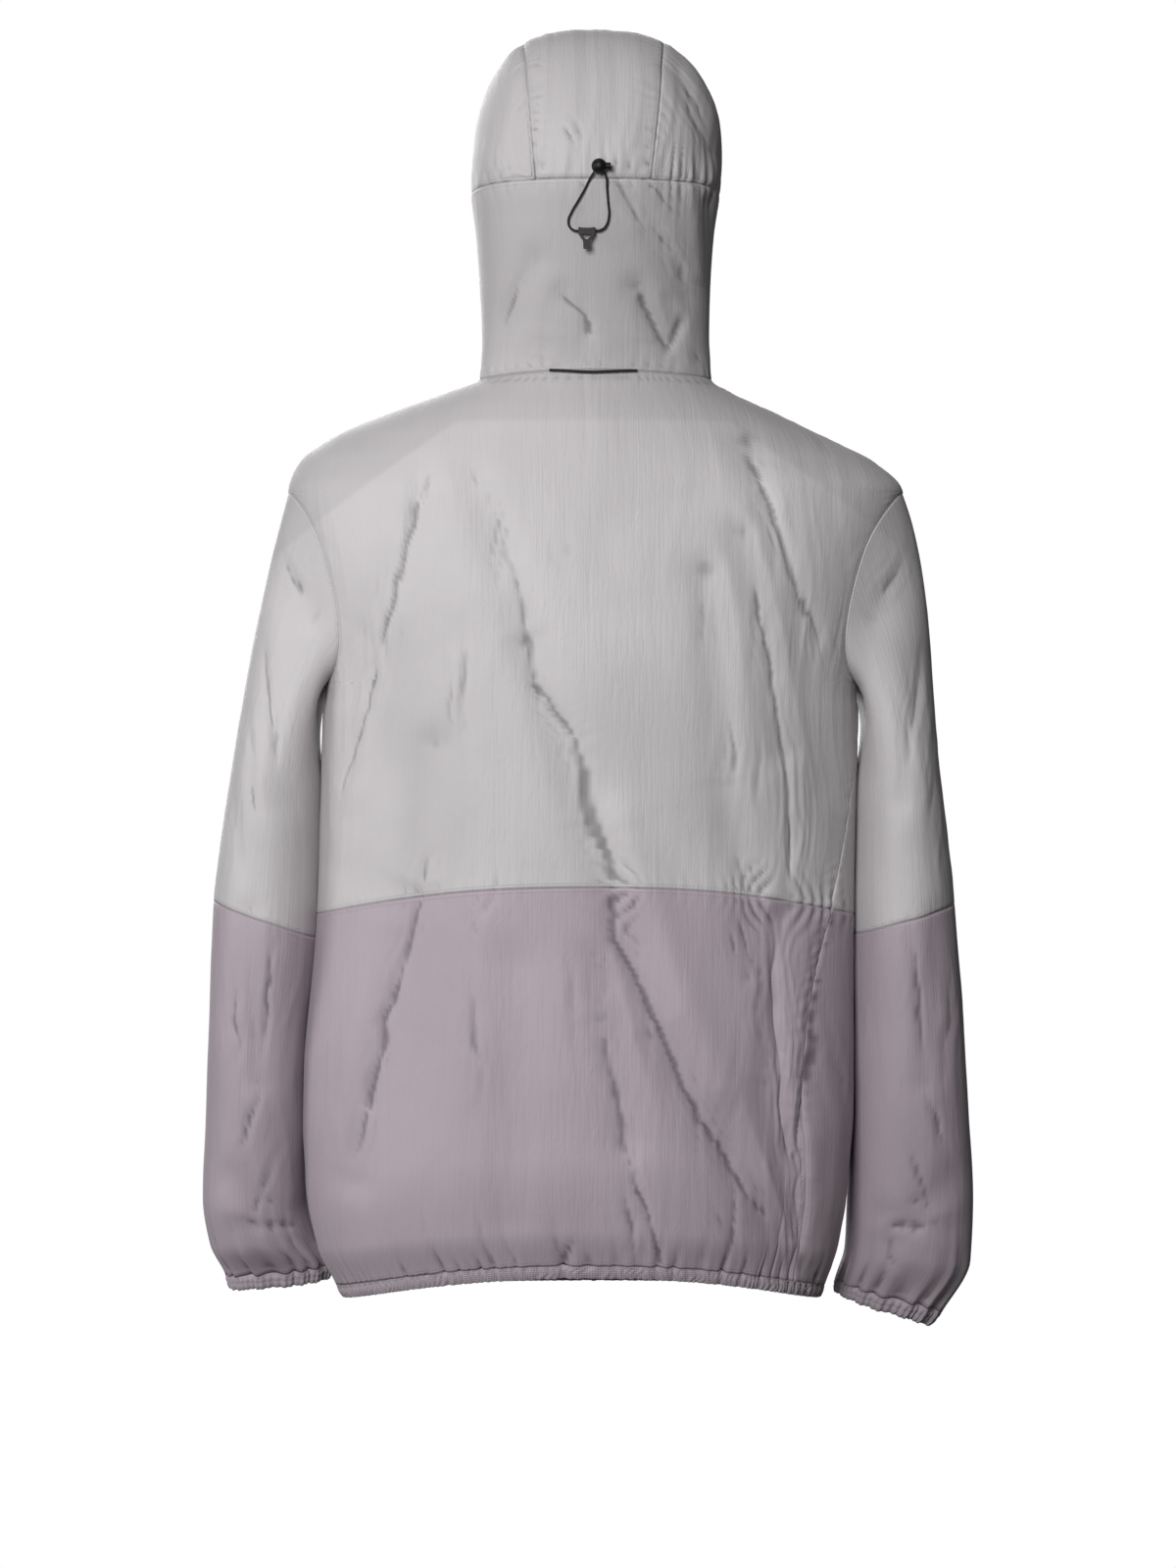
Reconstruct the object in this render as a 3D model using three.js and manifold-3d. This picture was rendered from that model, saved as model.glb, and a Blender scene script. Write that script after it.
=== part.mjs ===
// A hooded windbreaker jacket in its worn shape, hollow and with nobody in it, hood up and front zip closed.
// Units are millimetres. +Z is up, the front faces -Y, the back faces +Y, the wearer's left side is at +X.
// The origin is the middle of the neckline, at the height of the back neck seam and the wearer's shoulders.
// Each panel is a thin wall laid through points of a few smooth forms: body, sleeves and the hood's crown.
import * as THREE from "three";
import Module from "manifold-3d";

const wasm = await Module();
wasm.setup();

// Driving dimensions of the cloth
const WALL = 1.2; // thickness of every cloth wall
const SEAM_GAP = 0.34; // space left between two panels along a seam
const BAND_WALL = 1.8; // elastic bands are folded cloth, so they are thicker
const TAPE_HALF = 9; // from the middle of the zip to the edge of its tape
const SLOPE_STEP = 1.5; // step used to measure how a form slopes
const NECK_STEP = 9; // the same at the neck seam, where the shoulders meet the hood at an angle

// Levels of the seams that run round the body, measured at its sides
const HEM_BOTTOM = -734;
const HEM_TOP = -724;
const COLOUR_SEAM = -431;
const ARMPIT = -250;
const ARMHOLE_TOP = -97;
const NECK_SEAM = -7;
const CHIN = 62;
const CHANNEL = 139;

// Rows of points in each stretch of the body, from low to high
const LOWER_ROWS = [HEM_TOP, -712, -696, -672, -628, -580, -530, -480, COLOUR_SEAM];
const GATHERED_LOWER_ROWS = 3; // the first rows above the hem carry the gathers
const UPPER_LOW_ROWS = [COLOUR_SEAM, -390, -345, -298, ARMPIT];
const ARMHOLE_ROWS = [ARMPIT, -245, -234, -218, -197, -173, -149, -128, -112, -101, ARMHOLE_TOP];
const SHOULDER_ROWS = [ARMHOLE_TOP, -83, -68, -54, -40, -27, -16, NECK_SEAM];
const COLLAR_ROWS = [NECK_SEAM, 8, 25, 43, CHIN];
const HOOD_LOW_ROWS = [CHIN, 64, 70, 79, 92, 108, 124, CHANNEL];

// Panel grids
const BACK_COLUMNS = 24;
const FRONT_COLUMNS = 12;
const COLUMNS_PER_GATHER = 3;
const BACK_GATHERS = 24; // gathers along the hem of the back
const FRONT_GATHERS = 11; // gathers along the hem of each front
const CUFF_GATHERS = 15; // gathers round each cuff
const HEM_GATHER_HEIGHTS = [2.4, 1.9, 0.9]; // of the gathers, from the band up
const CUFF_GATHER_HEIGHTS = [0.8, 1.7];
const BAND_GATHER_HEIGHT = 0.9;
const CHANNEL_GATHER_HEIGHT = 1.5;

// Cross-sections of the body and of the hood below its drawcord channel.
// level: height at the sides. left, right, back, front: reach from the axis. square: 2 is an ellipse, 3 boxy.
// drop: how much lower the front centre is. lift: how much higher the back centre is.
const SECTIONS = [
  { level: -734, left: 198, right: 180, back: 106, front: 102, square: 2.3, drop: 0, lift: 24 },
  { level: -724, left: 203, right: 183, back: 110, front: 106, square: 2.3, drop: 0, lift: 24 },
  { level: -696, left: 218, right: 193, back: 122, front: 116, square: 2.4, drop: 0, lift: 24 },
  { level: -640, left: 228, right: 202, back: 129, front: 122, square: 2.4, drop: 0, lift: 24 },
  { level: -560, left: 227, right: 204, back: 128, front: 124, square: 2.4, drop: 0, lift: 24 },
  { level: -431, left: 217, right: 205, back: 122, front: 124, square: 2.4, drop: 0, lift: 23 },
  { level: -330, left: 214, right: 207, back: 124, front: 126, square: 2.4, drop: 0, lift: 14 },
  { level: -250, left: 212, right: 209, back: 127, front: 127, square: 2.5, drop: 0, lift: 6 },
  { level: -190, left: 223, right: 222, back: 125, front: 124, square: 2.5, drop: 2, lift: 1 },
  { level: -146, left: 234, right: 234, back: 119, front: 119, square: 2.5, drop: 6, lift: 0 },
  { level: -97, left: 242, right: 246, back: 107, front: 111, square: 2.4, drop: 14, lift: 0 },
  { level: -74, left: 234, right: 225, back: 100, front: 105, square: 2.1, drop: 22, lift: 0 },
  { level: -55, left: 210, right: 189, back: 93, front: 98, square: 1.9, drop: 32, lift: 0 },
  { level: -35, left: 165, right: 148, back: 84, front: 90, square: 1.8, drop: 42, lift: 0 },
  { level: -16, left: 112, right: 107, back: 68, front: 78, square: 1.9, drop: 51, lift: 1 },
  { level: -7, left: 90, right: 94, back: 60, front: 73, square: 2.0, drop: 55, lift: 3 },
  { level: 25, left: 88, right: 92, back: 70, front: 80, square: 2.1, drop: 49, lift: 3 },
  { level: 70, left: 90, right: 93, back: 88, front: 92, square: 2.3, drop: 39, lift: 2 },
  { level: 110, left: 93, right: 96, back: 103, front: 101, square: 2.5, drop: 22, lift: 1 },
  { level: 139, left: 96, right: 100, back: 111, front: 105, square: 2.6, drop: 9, lift: 0 },
  { level: 155, left: 96, right: 101, back: 113, front: 106, square: 2.6, drop: 5, lift: 0 },
];

// Where the side seams run, as degrees from the side towards the back
const SIDE_SEAMS = [
  { level: -734, left: -8, right: 33 },
  { level: -560, left: -12, right: 40 },
  { level: -431, left: -14, right: 28 },
  { level: -330, left: -9, right: 14 },
  { level: -250, left: 0, right: 0 },
];

// Half of the hood's face opening, in degrees from the front centre. At the chin it is the edge of the zip.
const FACE_OPENING = [
  { level: 62, half: 6 },
  { level: 64, half: 15 },
  { level: 70, half: 28 },
  { level: 79, half: 40 },
  { level: 92, half: 50 },
  { level: 108, half: 57 },
  { level: 124, half: 61 },
  { level: 139, half: 64 },
];
const FACE_BINDING = 5; // degrees of the section that the opening's binding takes up

// The armhole, as the greatest angle from the side to its back and front edges
const ARMHOLE_BACK = 29;
const ARMHOLE_FRONT = 29;
const ARMHOLE_ROUNDNESS = 2.6;
const SLEEVE_FLARE = { left: 0.27, right: 0.34 }; // how far each sleeve leans out as it leaves the shoulder

// Cross-sections of the sleeves. lateral, medial: outer and inner edge in X. depth: half its size in Y.
// forward: how far it hangs ahead of the body's axis. tilt: how much its outer edge is above its middle.
const LEFT_SLEEVE = [
  { level: -330, lateral: 288, medial: 217.5, forward: 2, depth: 70, tilt: 4 },
  { level: -435, lateral: 301, medial: 220.5, forward: 4, depth: 70, tilt: 15 },
  { level: -530, lateral: 306, medial: 229.5, forward: 12, depth: 67, tilt: 6 },
  { level: -600, lateral: 309, medial: 231.5, forward: 20, depth: 66, tilt: 2 },
  { level: -660, lateral: 312, medial: 230, forward: 28, depth: 64, tilt: 0 },
  { level: -695, lateral: 306, medial: 222, forward: 34, depth: 56, tilt: -2 },
  { level: -718, lateral: 293, medial: 212, forward: 38, depth: 38, tilt: -4 },
  { level: -729, lateral: 290, medial: 214, forward: 39, depth: 34, tilt: -4 },
];
const RIGHT_SLEEVE = [
  { level: -330, lateral: 276, medial: 210.5, forward: 2, depth: 70, tilt: 4 },
  { level: -435, lateral: 287, medial: 208.5, forward: 4, depth: 70, tilt: 12 },
  { level: -530, lateral: 295, medial: 208, forward: 12, depth: 67, tilt: 5 },
  { level: -600, lateral: 300, medial: 207, forward: 20, depth: 66, tilt: 2 },
  { level: -660, lateral: 304, medial: 204.5, forward: 28, depth: 64, tilt: 0 },
  { level: -705, lateral: 302, medial: 203, forward: 34, depth: 57, tilt: -5 },
  { level: -738, lateral: 279, medial: 197, forward: 38, depth: 38, tilt: -12 },
  { level: -749, lateral: 270, medial: 196, forward: 40, depth: 34, tilt: -13 },
];
const SLEEVE_SQUARE = 2.3;
const SLEEVE_SEAM = -435;
const SLEEVE_TOP = -330; // above it, the sleeve turns into the armhole
const CAP_LEAVE = { inwards: 0.35, down: 0.95, under: 0.7, underDown: 0.5 }; // how the cap leaves the armhole
const CAP_START = 0.06; // share of the cap that tells its direction at the armhole
const BELOW_TOP = 10; // the same for the row below the cap
const CAP_ROWS = 6; // rows between the armhole and the top section
const SLEEVE_MID_ROWS = [SLEEVE_TOP, -365, -400, SLEEVE_SEAM];
const SLEEVE_LOW_ROWS = [SLEEVE_SEAM, -480, -530, -580, -626, -664]; // then the gathered rows above the cuff

// The crown of the hood, from the drawcord channel up
const CROWN = {
  left: 96,
  right: 100,
  back: 111,
  front: 105,
  height: 131,
  square: 2.75, // across
  roundness: 2.2, // in the side view
  bulge: 0.045, // how much wider it swells on the right above the channel
};
const CROWN_ROWS = 12; // rows of the crown's middle panel, from the channel at the back to the forehead
const CROWN_COLUMNS = 12;
const SIDE_CROWN_ROWS = 5;
const MIDDLE_PANEL_LOW = 45; // half of the middle panel's width at the channel
const MIDDLE_PANEL_HIGH = 55; // and at the crown
const FOREHEAD = 140; // degrees from the back, over the top, to the edge of the crown
const FOREHEAD_BINDING = 4.5; // degrees that the binding adds
const CHEEK_BINDING = 8; // how far the binding reaches ahead of the crown's lower front corner
const HOOD_LOW_SIDE_COLUMNS = 12;

// Main folds, drawn as seen from the back or the front. x0, z0 to x1, z1: the fold's line, in X and Z.
// width: from its middle to where it fades. depth: how far it sinks in; a ridge is negative.
const BACK_FOLDS = [
  { x0: 130, z0: -100, x1: 178, z1: -210, width: 15, depth: 6 },
  { x0: 178, z0: -210, x1: 208, z1: -385, width: 15, depth: 7 },
  { x0: 150, z0: -130, x1: 190, z1: -330, width: 18, depth: -5 },
  { x0: 90, z0: -95, x1: 50, z1: -220, width: 16, depth: 5 },
  { x0: 50, z0: -220, x1: 2, z1: -360, width: 16, depth: 8 },
  { x0: 2, z0: -360, x1: -52, z1: -520, width: 17, depth: 9 },
  { x0: -52, z0: -520, x1: -158, z1: -700, width: 18, depth: 10 },
  { x0: -20, z0: -360, x1: -95, z1: -560, width: 20, depth: -6 },
  { x0: -118, z0: -62, x1: -160, z1: -195, width: 15, depth: 6 },
  { x0: -160, z0: -195, x1: -186, z1: -330, width: 16, depth: 5 },
  { x0: -116, z0: -135, x1: -148, z1: -300, width: 15, depth: 6 },
  { x0: -88, z0: -165, x1: -102, z1: -330, width: 15, depth: 6 },
  { x0: -102, z0: -330, x1: -132, z1: -470, width: 16, depth: 7 },
  { x0: 124, z0: -300, x1: 137, z1: -415, width: 14, depth: 6 },
  { x0: 137, z0: -415, x1: 187, z1: -633, width: 17, depth: 9 },
  { x0: 160, z0: -440, x1: 200, z1: -620, width: 18, depth: -5 },
  { x0: -143, z0: -434, x1: -137, z1: -560, width: 14, depth: 8 },
  { x0: -137, z0: -560, x1: -162, z1: -690, width: 15, depth: 9 },
  { x0: -184, z0: -450, x1: -162, z1: -590, width: 12, depth: 5 },
  { x0: -10, z0: -460, x1: -24, z1: -600, width: 18, depth: 5 },
  { x0: 60, z0: -470, x1: 62, z1: -660, width: 22, depth: 4 },
];
const FRONT_FOLDS = [
  { x0: -130, z0: -110, x1: -168, z1: -300, width: 17, depth: 6 },
  { x0: 122, z0: -120, x1: 160, z1: -290, width: 17, depth: 6 },
  { x0: -60, z0: -150, x1: -96, z1: -400, width: 19, depth: 6 },
  { x0: 70, z0: -170, x1: 104, z1: -420, width: 19, depth: 6 },
  { x0: -96, z0: -400, x1: -150, z1: -650, width: 19, depth: 8 },
  { x0: 104, z0: -420, x1: 70, z1: -660, width: 19, depth: 7 },
  { x0: 160, z0: -380, x1: 184, z1: -640, width: 17, depth: 7 },
  { x0: -40, z0: -440, x1: -52, z1: -680, width: 17, depth: 5 },
];
// On the back of the hood
const HOOD_FOLDS = [
  { x0: -34, z0: 58, x1: -55, z1: 22, width: 10, depth: 5 },
  { x0: -62, z0: 50, x1: -60, z1: 24, width: 9, depth: 3 },
  { x0: -46, z0: 98, x1: -74, z1: 55, width: 11, depth: 4 },
  { x0: -20, z0: 132, x1: -50, z1: 104, width: 9, depth: 3 },
  { x0: 46, z0: 78, x1: 80, z1: 14, width: 12, depth: 4 },
  { x0: 24, z0: 52, x1: 4, z1: 22, width: 10, depth: 3 },
  { x0: -60, z0: 232, x1: -92, z1: 168, width: 10, depth: 4 },
  { x0: 78, z0: 236, x1: 88, z1: 180, width: 12, depth: 3 },
];
// On the sleeves, as seen from the back, X measured from the body's axis on that side
const SLEEVE_FOLDS = [
  { x0: 262, z0: -150, x1: 222, z1: -196, width: 11, depth: 6 },
  { x0: 258, z0: -230, x1: 240, z1: -340, width: 12, depth: 5 },
  { x0: 272, z0: -430, x1: 262, z1: -560, width: 12, depth: 4 },
  { x0: 284, z0: -640, x1: 236, z1: -690, width: 13, depth: 6 },
  { x0: 228, z0: -668, x1: 282, z1: -678, width: 10, depth: 5 },
];

// The hood's drawcord, which shows as one loop that hangs from its lock
const CORD_RADIUS = 0.9;
const CORD_SIDES = 8;
const CORD_STEPS = 28;
const RESTING = 0.35; // from the cloth's outer face to what lies on it
const LOCK = { x: -4.5, z: 147.6, radius: 6, boreRadius: 3.1, boreDepth: 7.5 };
const PLUNGER = { radius: 2.7, length: 7.4, showing: 3 };
const FINE_SIDES = 20; // sides of the lock's round parts
// The loop, from the lock's left side through the cord end and back up. out: from the cloth to its middle.
const CORD_LOOP = [
  { x: -0.6, z: 143.3, out: 4.2 },
  { x: 2.8, z: 138.4, out: 2.4 },
  { x: 6.4, z: 131.4, out: 1.9 },
  { x: 11.8, z: 122.4, out: 1.9 },
  { x: 16.7, z: 114.2, out: 1.9 },
  { x: 18.9, z: 108.6, out: 2.0 },
  { x: 17.9, z: 103.8, out: 2.4 },
  { x: 14.6, z: 101.3, out: 2.7 },
  { x: 11.4, z: 100.9, out: 2.7 },
  { x: 5.0, z: 100.9, out: 2.7 },
  { x: -1.4, z: 100.9, out: 2.7 },
  { x: -5.6, z: 101.4, out: 2.7 },
  { x: -9.6, z: 104.2, out: 2.4 },
  { x: -12.0, z: 111.2, out: 2.0 },
  { x: -11.4, z: 122.5, out: 1.9 },
  { x: -10.6, z: 133.0, out: 1.9 },
  { x: -10.4, z: 138.2, out: 2.4 },
  { x: -8.5, z: 143.3, out: 4.2 },
];
// The cord end, from its middle on the cord. bar: the bar's height. neck, neckLow: its waist's width and place.
// hollow: how far the bar's top sinks from its corners, which stand up by corner.
const CORD_END = {
  x: 5,
  z: 100.9,
  width: 12.9,
  bar: 4.8,
  neck: 5.4,
  neckLow: 7.6,
  stem: 5.2,
  height: 16.2,
  thickness: 3.8,
  bore: 1.35,
  corner: 0.3,
  hollow: 1,
};
// Its opening. top, low: half widths. from, to: how far below the cord it starts and stops.
const CORD_END_EYE = { top: 4.2, low: 0.9, from: 2.8, to: 6.6 };

// The hanger loop that lies along the back neck seam, between two stitched ends
const HANGER_RADIUS = 1.1;
const HANGER_LOOP = [
  { x: 33.5, z: -3.4, out: 1.9 },
  { x: 24, z: -5.2, out: 2.5 },
  { x: 12, z: -6.7, out: 2.7 },
  { x: 2, z: -7.3, out: 2.8 },
  { x: -10, z: -6.8, out: 2.7 },
  { x: -23, z: -5.6, out: 2.5 },
  { x: -33.7, z: -4.2, out: 1.9 },
];

// The zip
const SLIDER = { level: 49, width: 8, length: 11, plate: 2.2 };
const TAPER = { shoulder: 0.3, knee: 0.7, foot: 0.35 }; // shares of the slider's half length and half width
const BRIDGE = { half: 3.6, rise: 3.6, wall: 1.1, width: 1.8, round: 1, foot: 0.2 }; // it holds the pull
const PULL = {
  width: 6.4,
  thickness: 1.2,
  length: 25,
  eyeWidth: 3.6,
  eyeLength: 6.6,
  topBar: 1.2,
  pivotRise: 1.3,
  round: 2,
};
const ZIP_BOX = { width: 9, height: 7, thickness: 2.2, above: 1 };

const GREY = { color: 0xbdb8ba, roughness: 0.62, metalness: 0 };
const MAUVE = { color: 0xaa9ea9, roughness: 0.62, metalness: 0 };
const MAUVE_BAND = { color: 0xa89ca7, roughness: 0.7, metalness: 0 };
const TAPE_GREY = { color: 0xa9a5a8, roughness: 0.8, metalness: 0 };
const BLACK = { color: 0x16171a, roughness: 0.45, metalness: 0 };
const BLACK_CORD = { color: 0x1b1c20, roughness: 0.8, metalness: 0 };

const CURVE_SEGMENTS = 4; // of each rounded corner of the flat hard parts
const BORE_SIDES = 16;
const RADIANS = Math.PI / 180;
const jacket = new THREE.Group();

// A smooth curve through one column of a table, as a function of the level. It never overshoots its rows.
function column(table, key) {
  const rows = [...table].sort((a, b) => a.level - b.level);
  const x = rows.map((r) => r.level);
  const y = rows.map((r) => r[key]);
  const slope = x.slice(1).map((_, i) => (y[i + 1] - y[i]) / (x[i + 1] - x[i]));
  const tangent = x.map((_, i) => {
    if (i === 0) return slope[0];
    if (i === x.length - 1) return slope[i - 1];
    const before = slope[i - 1];
    const after = slope[i];
    return before * after <= 0 ? 0 : (2 * before * after) / (before + after);
  });
  return (level) => {
    if (level <= x[0]) return y[0] + tangent[0] * (level - x[0]);
    const last = x.length - 1;
    if (level >= x[last]) return y[last] + tangent[last] * (level - x[last]);
    const i = x.findIndex((value) => value > level) - 1;
    const span = x[i + 1] - x[i];
    const t = (level - x[i]) / span;
    const blend = t * t * (3 - 2 * t);
    const start = t * (1 - t) * (1 - t) * span;
    const end = t * t * (t - 1) * span;
    return y[i] * (1 - blend) + y[i + 1] * blend + tangent[i] * start + tangent[i + 1] * end;
  };
}

// Every column of a table as a curve, under the column's name
function columns(table) {
  const keys = Object.keys(table[0]).filter((key) => key !== "level");
  return Object.fromEntries(keys.map((key) => [key, column(table, key)]));
}

const section = columns(SECTIONS);
const sideSeam = columns(SIDE_SEAMS);
const faceOpening = column(FACE_OPENING, "half");

// A power that keeps the sign, for superellipse sections
const signedPower = (value, power) => Math.sign(value) * Math.abs(value) ** power;

// How far the folds of a list sink in at a place seen from the back or the front
function foldDepth(folds, x, z) {
  let sunk = 0;
  let raised = 0;
  for (const f of folds) {
    const runX = f.x1 - f.x0;
    const runZ = f.z1 - f.z0;
    const along = ((x - f.x0) * runX + (z - f.z0) * runZ) / (runX * runX + runZ * runZ);
    const held = Math.min(1, Math.max(0, along));
    const away = Math.hypot(x - f.x0 - held * runX, z - f.z0 - held * runZ);
    const depth = f.depth * Math.exp(-((away / f.width) ** 2));
    sunk = Math.max(sunk, depth);
    raised = Math.min(raised, depth);
  }
  return sunk + raised;
}

// The body's form without its folds. The angle starts at the wearer's left and goes round by the back.
function bodyForm(angle, level) {
  const c = Math.cos(angle * RADIANS);
  const s = Math.sin(angle * RADIANS);
  const power = 2 / section.square(level);
  const reachX = c >= 0 ? section.left(level) : section.right(level);
  const reachY = s >= 0 ? section.back(level) : section.front(level);
  const x = reachX * signedPower(c, power);
  const y = reachY * signedPower(s, power);
  const frontShare = Math.max(0, -s) ** 1.3;
  const backShare = Math.max(0, s) ** 2;
  return new THREE.Vector3(x, y, level - section.drop(level) * frontShare + section.lift(level) * backShare);
}

// The outward direction of a form at a place, from its slopes
function facing(form, a, b, stepA, stepB) {
  const across = form(a + stepA, b).sub(form(a - stepA, b));
  const up = form(a, b + stepB).sub(form(a, b - stepB));
  return across.cross(up).normalize();
}

// The outward direction on the neck seam, halfway between that of the shoulders and that of the hood
function neckFacing(angle) {
  const half = NECK_STEP / 2;
  const above = facing(bodyForm, angle, NECK_SEAM + half, SLOPE_STEP, half);
  return above.add(facing(bodyForm, angle, NECK_SEAM - half, SLOPE_STEP, half)).normalize();
}

// A point of the cloth: p is on the middle of the wall and n points out of the garment
const clothPoint = (p, n) => ({ p, n });

// The body with its folds, which fade where the sleeves hang against it
function bodyPoint(angle, level) {
  const p = bodyForm(angle, level);
  const n = level === NECK_SEAM ? neckFacing(angle) : facing(bodyForm, angle, level, SLOPE_STEP, SLOPE_STEP);
  const openness = Math.min(1, Math.abs(Math.sin(angle * RADIANS)) * 1.6);
  const folds = p.y < 0 ? FRONT_FOLDS : level > NECK_SEAM ? HOOD_FOLDS : BACK_FOLDS;
  const calm = p.y < 0 && level > ARMHOLE_TOP ? 0 : openness ** 2;
  return clothPoint(p.addScaledVector(n, -foldDepth(folds, p.x, p.z) * calm), n);
}

// The angle at which the body is a given distance beside its front centre
function zipAngle(side, beside, level) {
  const reach = side > 0 ? section.left(level) : section.right(level);
  const lean = Math.acos((beside / reach) ** (section.square(level) / 2)) / RADIANS;
  return side > 0 ? -lean : 180 + lean;
}

// The angle of a panel's side edge, from the side: side seam, then armhole, then shoulder seam.
function sideEdge(side, level, facingBack) {
  if (level <= ARMPIT) {
    const seam = side > 0 ? sideSeam.left(level) : sideSeam.right(level);
    return facingBack ? seam : -seam;
  }
  if (level >= ARMHOLE_TOP) return 0;
  const height = (level - ARMPIT) / (ARMHOLE_TOP - ARMPIT);
  const open = (1 - Math.abs(2 * height - 1) ** ARMHOLE_ROUNDNESS) ** (1 / ARMHOLE_ROUNDNESS);
  return (facingBack ? ARMHOLE_BACK : ARMHOLE_FRONT) * open;
}

// From an angle measured from a side towards the back to the body's own angle
const bodyAngle = (side, towardsBack) => (side > 0 ? towardsBack : 180 - towardsBack);

// A sleeve's form below the armhole: the angle starts at its outer edge and goes round by the back
function sleeveForm(side, angle, level) {
  const table = side > 0 ? sleeveCurves.left : sleeveCurves.right;
  const c = Math.cos(angle * RADIANS);
  const s = Math.sin(angle * RADIANS);
  const power = 2 / SLEEVE_SQUARE;
  const middle = (table.lateral(level) + table.medial(level)) / 2;
  const half = (table.lateral(level) - table.medial(level)) / 2;
  const x = middle + half * signedPower(c, power);
  const y = table.depth(level) * signedPower(s, power) - table.forward(level);
  return new THREE.Vector3(side * x, y, level + table.tilt(level) * c);
}

const sleeveCurves = { left: columns(LEFT_SLEEVE), right: columns(RIGHT_SLEEVE) };

// The armhole's points in the order of the sleeve's angle: from its top down the back and up the front
function armholeEdge(side) {
  const down = [...ARMHOLE_ROWS].reverse().map((level) => ({ level, facingBack: true }));
  const up = ARMHOLE_ROWS.slice(1, -1).map((level) => ({ level, facingBack: false }));
  return [...down, ...up].map(({ level, facingBack }) => {
    const lean = sideEdge(side, level, facingBack);
    return bodyPoint(bodyAngle(side, facingBack ? lean : -lean), level);
  });
}

// The sleeve's cap: a smooth turn from the armhole's edge into the sleeve's top section.
// The share is 0 at the armhole and 1 at the top section.
function capForm(side, edge, index, share) {
  const angle = (360 * index) / edge.length;
  const start = edge[index].p;
  const end = sleeveForm(side, angle, SLEEVE_TOP);
  const reach = start.distanceTo(end);
  const under = ((1 - Math.cos(angle * RADIANS)) / 2) ** 2;
  const dip = -CAP_LEAVE.inwards * Math.sin(angle * RADIANS);
  const flare = side > 0 ? SLEEVE_FLARE.left : SLEEVE_FLARE.right;
  const outwards = flare + (CAP_LEAVE.under - flare) * under;
  const downwards = CAP_LEAVE.down - (CAP_LEAVE.down - CAP_LEAVE.underDown) * under;
  const leave = new THREE.Vector3(side * outwards, dip, -downwards).normalize();
  const arrive = sleeveForm(side, angle, SLEEVE_TOP - SLOPE_STEP).sub(sleeveForm(side, angle, SLEEVE_TOP));
  const t = share;
  const blend = t * t * (3 - 2 * t);
  return start
    .clone()
    .multiplyScalar(1 - blend)
    .addScaledVector(end, blend)
    .addScaledVector(leave, t * (1 - t) * (1 - t) * reach)
    .addScaledVector(arrive.normalize(), t * t * (t - 1) * reach);
}

// The outward direction of a sleeve at one of its points, from its neighbours
function sleeveFacing(side, before, after, above, below) {
  const round = after.clone().sub(before);
  const down = below.clone().sub(above);
  return down.cross(round).multiplyScalar(side).normalize();
}

function foldedSleevePoint(side, p, n, angle) {
  const seenFromBack = Math.sin(angle * RADIANS);
  const depth = foldDepth(SLEEVE_FOLDS, Math.abs(p.x), p.z);
  return clothPoint(p.clone().addScaledVector(n, -depth * Math.abs(seenFromBack)), n);
}

// Rows of the sleeve's cap, from the armhole down. Its first row is the seam, shared with the body.
function capRows(side, seam) {
  const count = seam.length;
  const grid = [];
  for (let row = 0; row <= CAP_ROWS; row += 1) {
    grid.push(seam.map((_, index) => capForm(side, seam, index, row / CAP_ROWS)));
  }
  return grid.map((points, row) =>
    points.map((p, index) => {
      if (row === 0) return seam[index];
      const angle = (360 * index) / count;
      const below = row < CAP_ROWS ? grid[row + 1][index] : sleeveForm(side, angle, SLEEVE_TOP - BELOW_TOP);
      const before = points[(index + count - 1) % count];
      const after = points[(index + 1) % count];
      const n = sleeveFacing(side, before, after, grid[row - 1][index], below);
      return foldedSleevePoint(side, p, n, angle);
    }),
  );
}

// A row of the sleeve below its cap, with its gathers
function sleeveRow(side, level, count, gatherHeight = 0) {
  const form = (angle, height) => sleeveForm(side, angle, height);
  return Array.from({ length: count }, (_, index) => {
    const angle = (360 * index) / count;
    const n = facing(form, angle, level, SLOPE_STEP, SLOPE_STEP).multiplyScalar(side);
    const wave = gatherHeight * Math.cos((2 * Math.PI * index) / COLUMNS_PER_GATHER);
    return foldedSleevePoint(side, form(angle, level).addScaledVector(n, wave), n, angle);
  });
}

// The armhole's points. They face halfway between the body's and the sleeve's way, so that the walls mitre.
function armholeSeam(side) {
  const edge = armholeEdge(side);
  const count = edge.length;
  const next = edge.map((_, index) => capForm(side, edge, index, CAP_START));
  return edge.map((point, index) => {
    const before = edge[(index + count - 1) % count].p;
    const after = edge[(index + 1) % count].p;
    const sleeve = sleeveFacing(side, before, after, point.p, next[index]);
    return clothPoint(point.p, point.n.clone().add(sleeve).normalize());
  });
}

const armholes = { 1: armholeSeam(1), [-1]: armholeSeam(-1) };

// The armhole's seam point at one of the body's rows
function armholePoint(side, level, facingBack) {
  const row = ARMHOLE_ROWS.indexOf(level);
  const top = ARMHOLE_ROWS.length - 1;
  const seam = armholes[side];
  return facingBack || row === 0 || row === top ? seam[top - row] : seam[top + row];
}

// A row of one body panel between two angles, with its gathers
function panelRow(level, from, to, count, gatherHeight = 0) {
  return Array.from({ length: count + 1 }, (_, index) => {
    const point = bodyPoint(from + ((to - from) * index) / count, level);
    const wave = gatherHeight * Math.cos((2 * Math.PI * index) / COLUMNS_PER_GATHER);
    return clothPoint(point.p.addScaledVector(point.n, wave), point.n);
  });
}

// The two side edges of the back, or the side and the zip edge of a front, at a level
function backEdges(level) {
  return [bodyAngle(-1, sideEdge(-1, level, true)), bodyAngle(1, sideEdge(1, level, true))];
}

function frontEdges(side, level) {
  return [bodyAngle(side, -sideEdge(side, level, false)), zipAngle(side, TAPE_HALF, level)];
}

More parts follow.
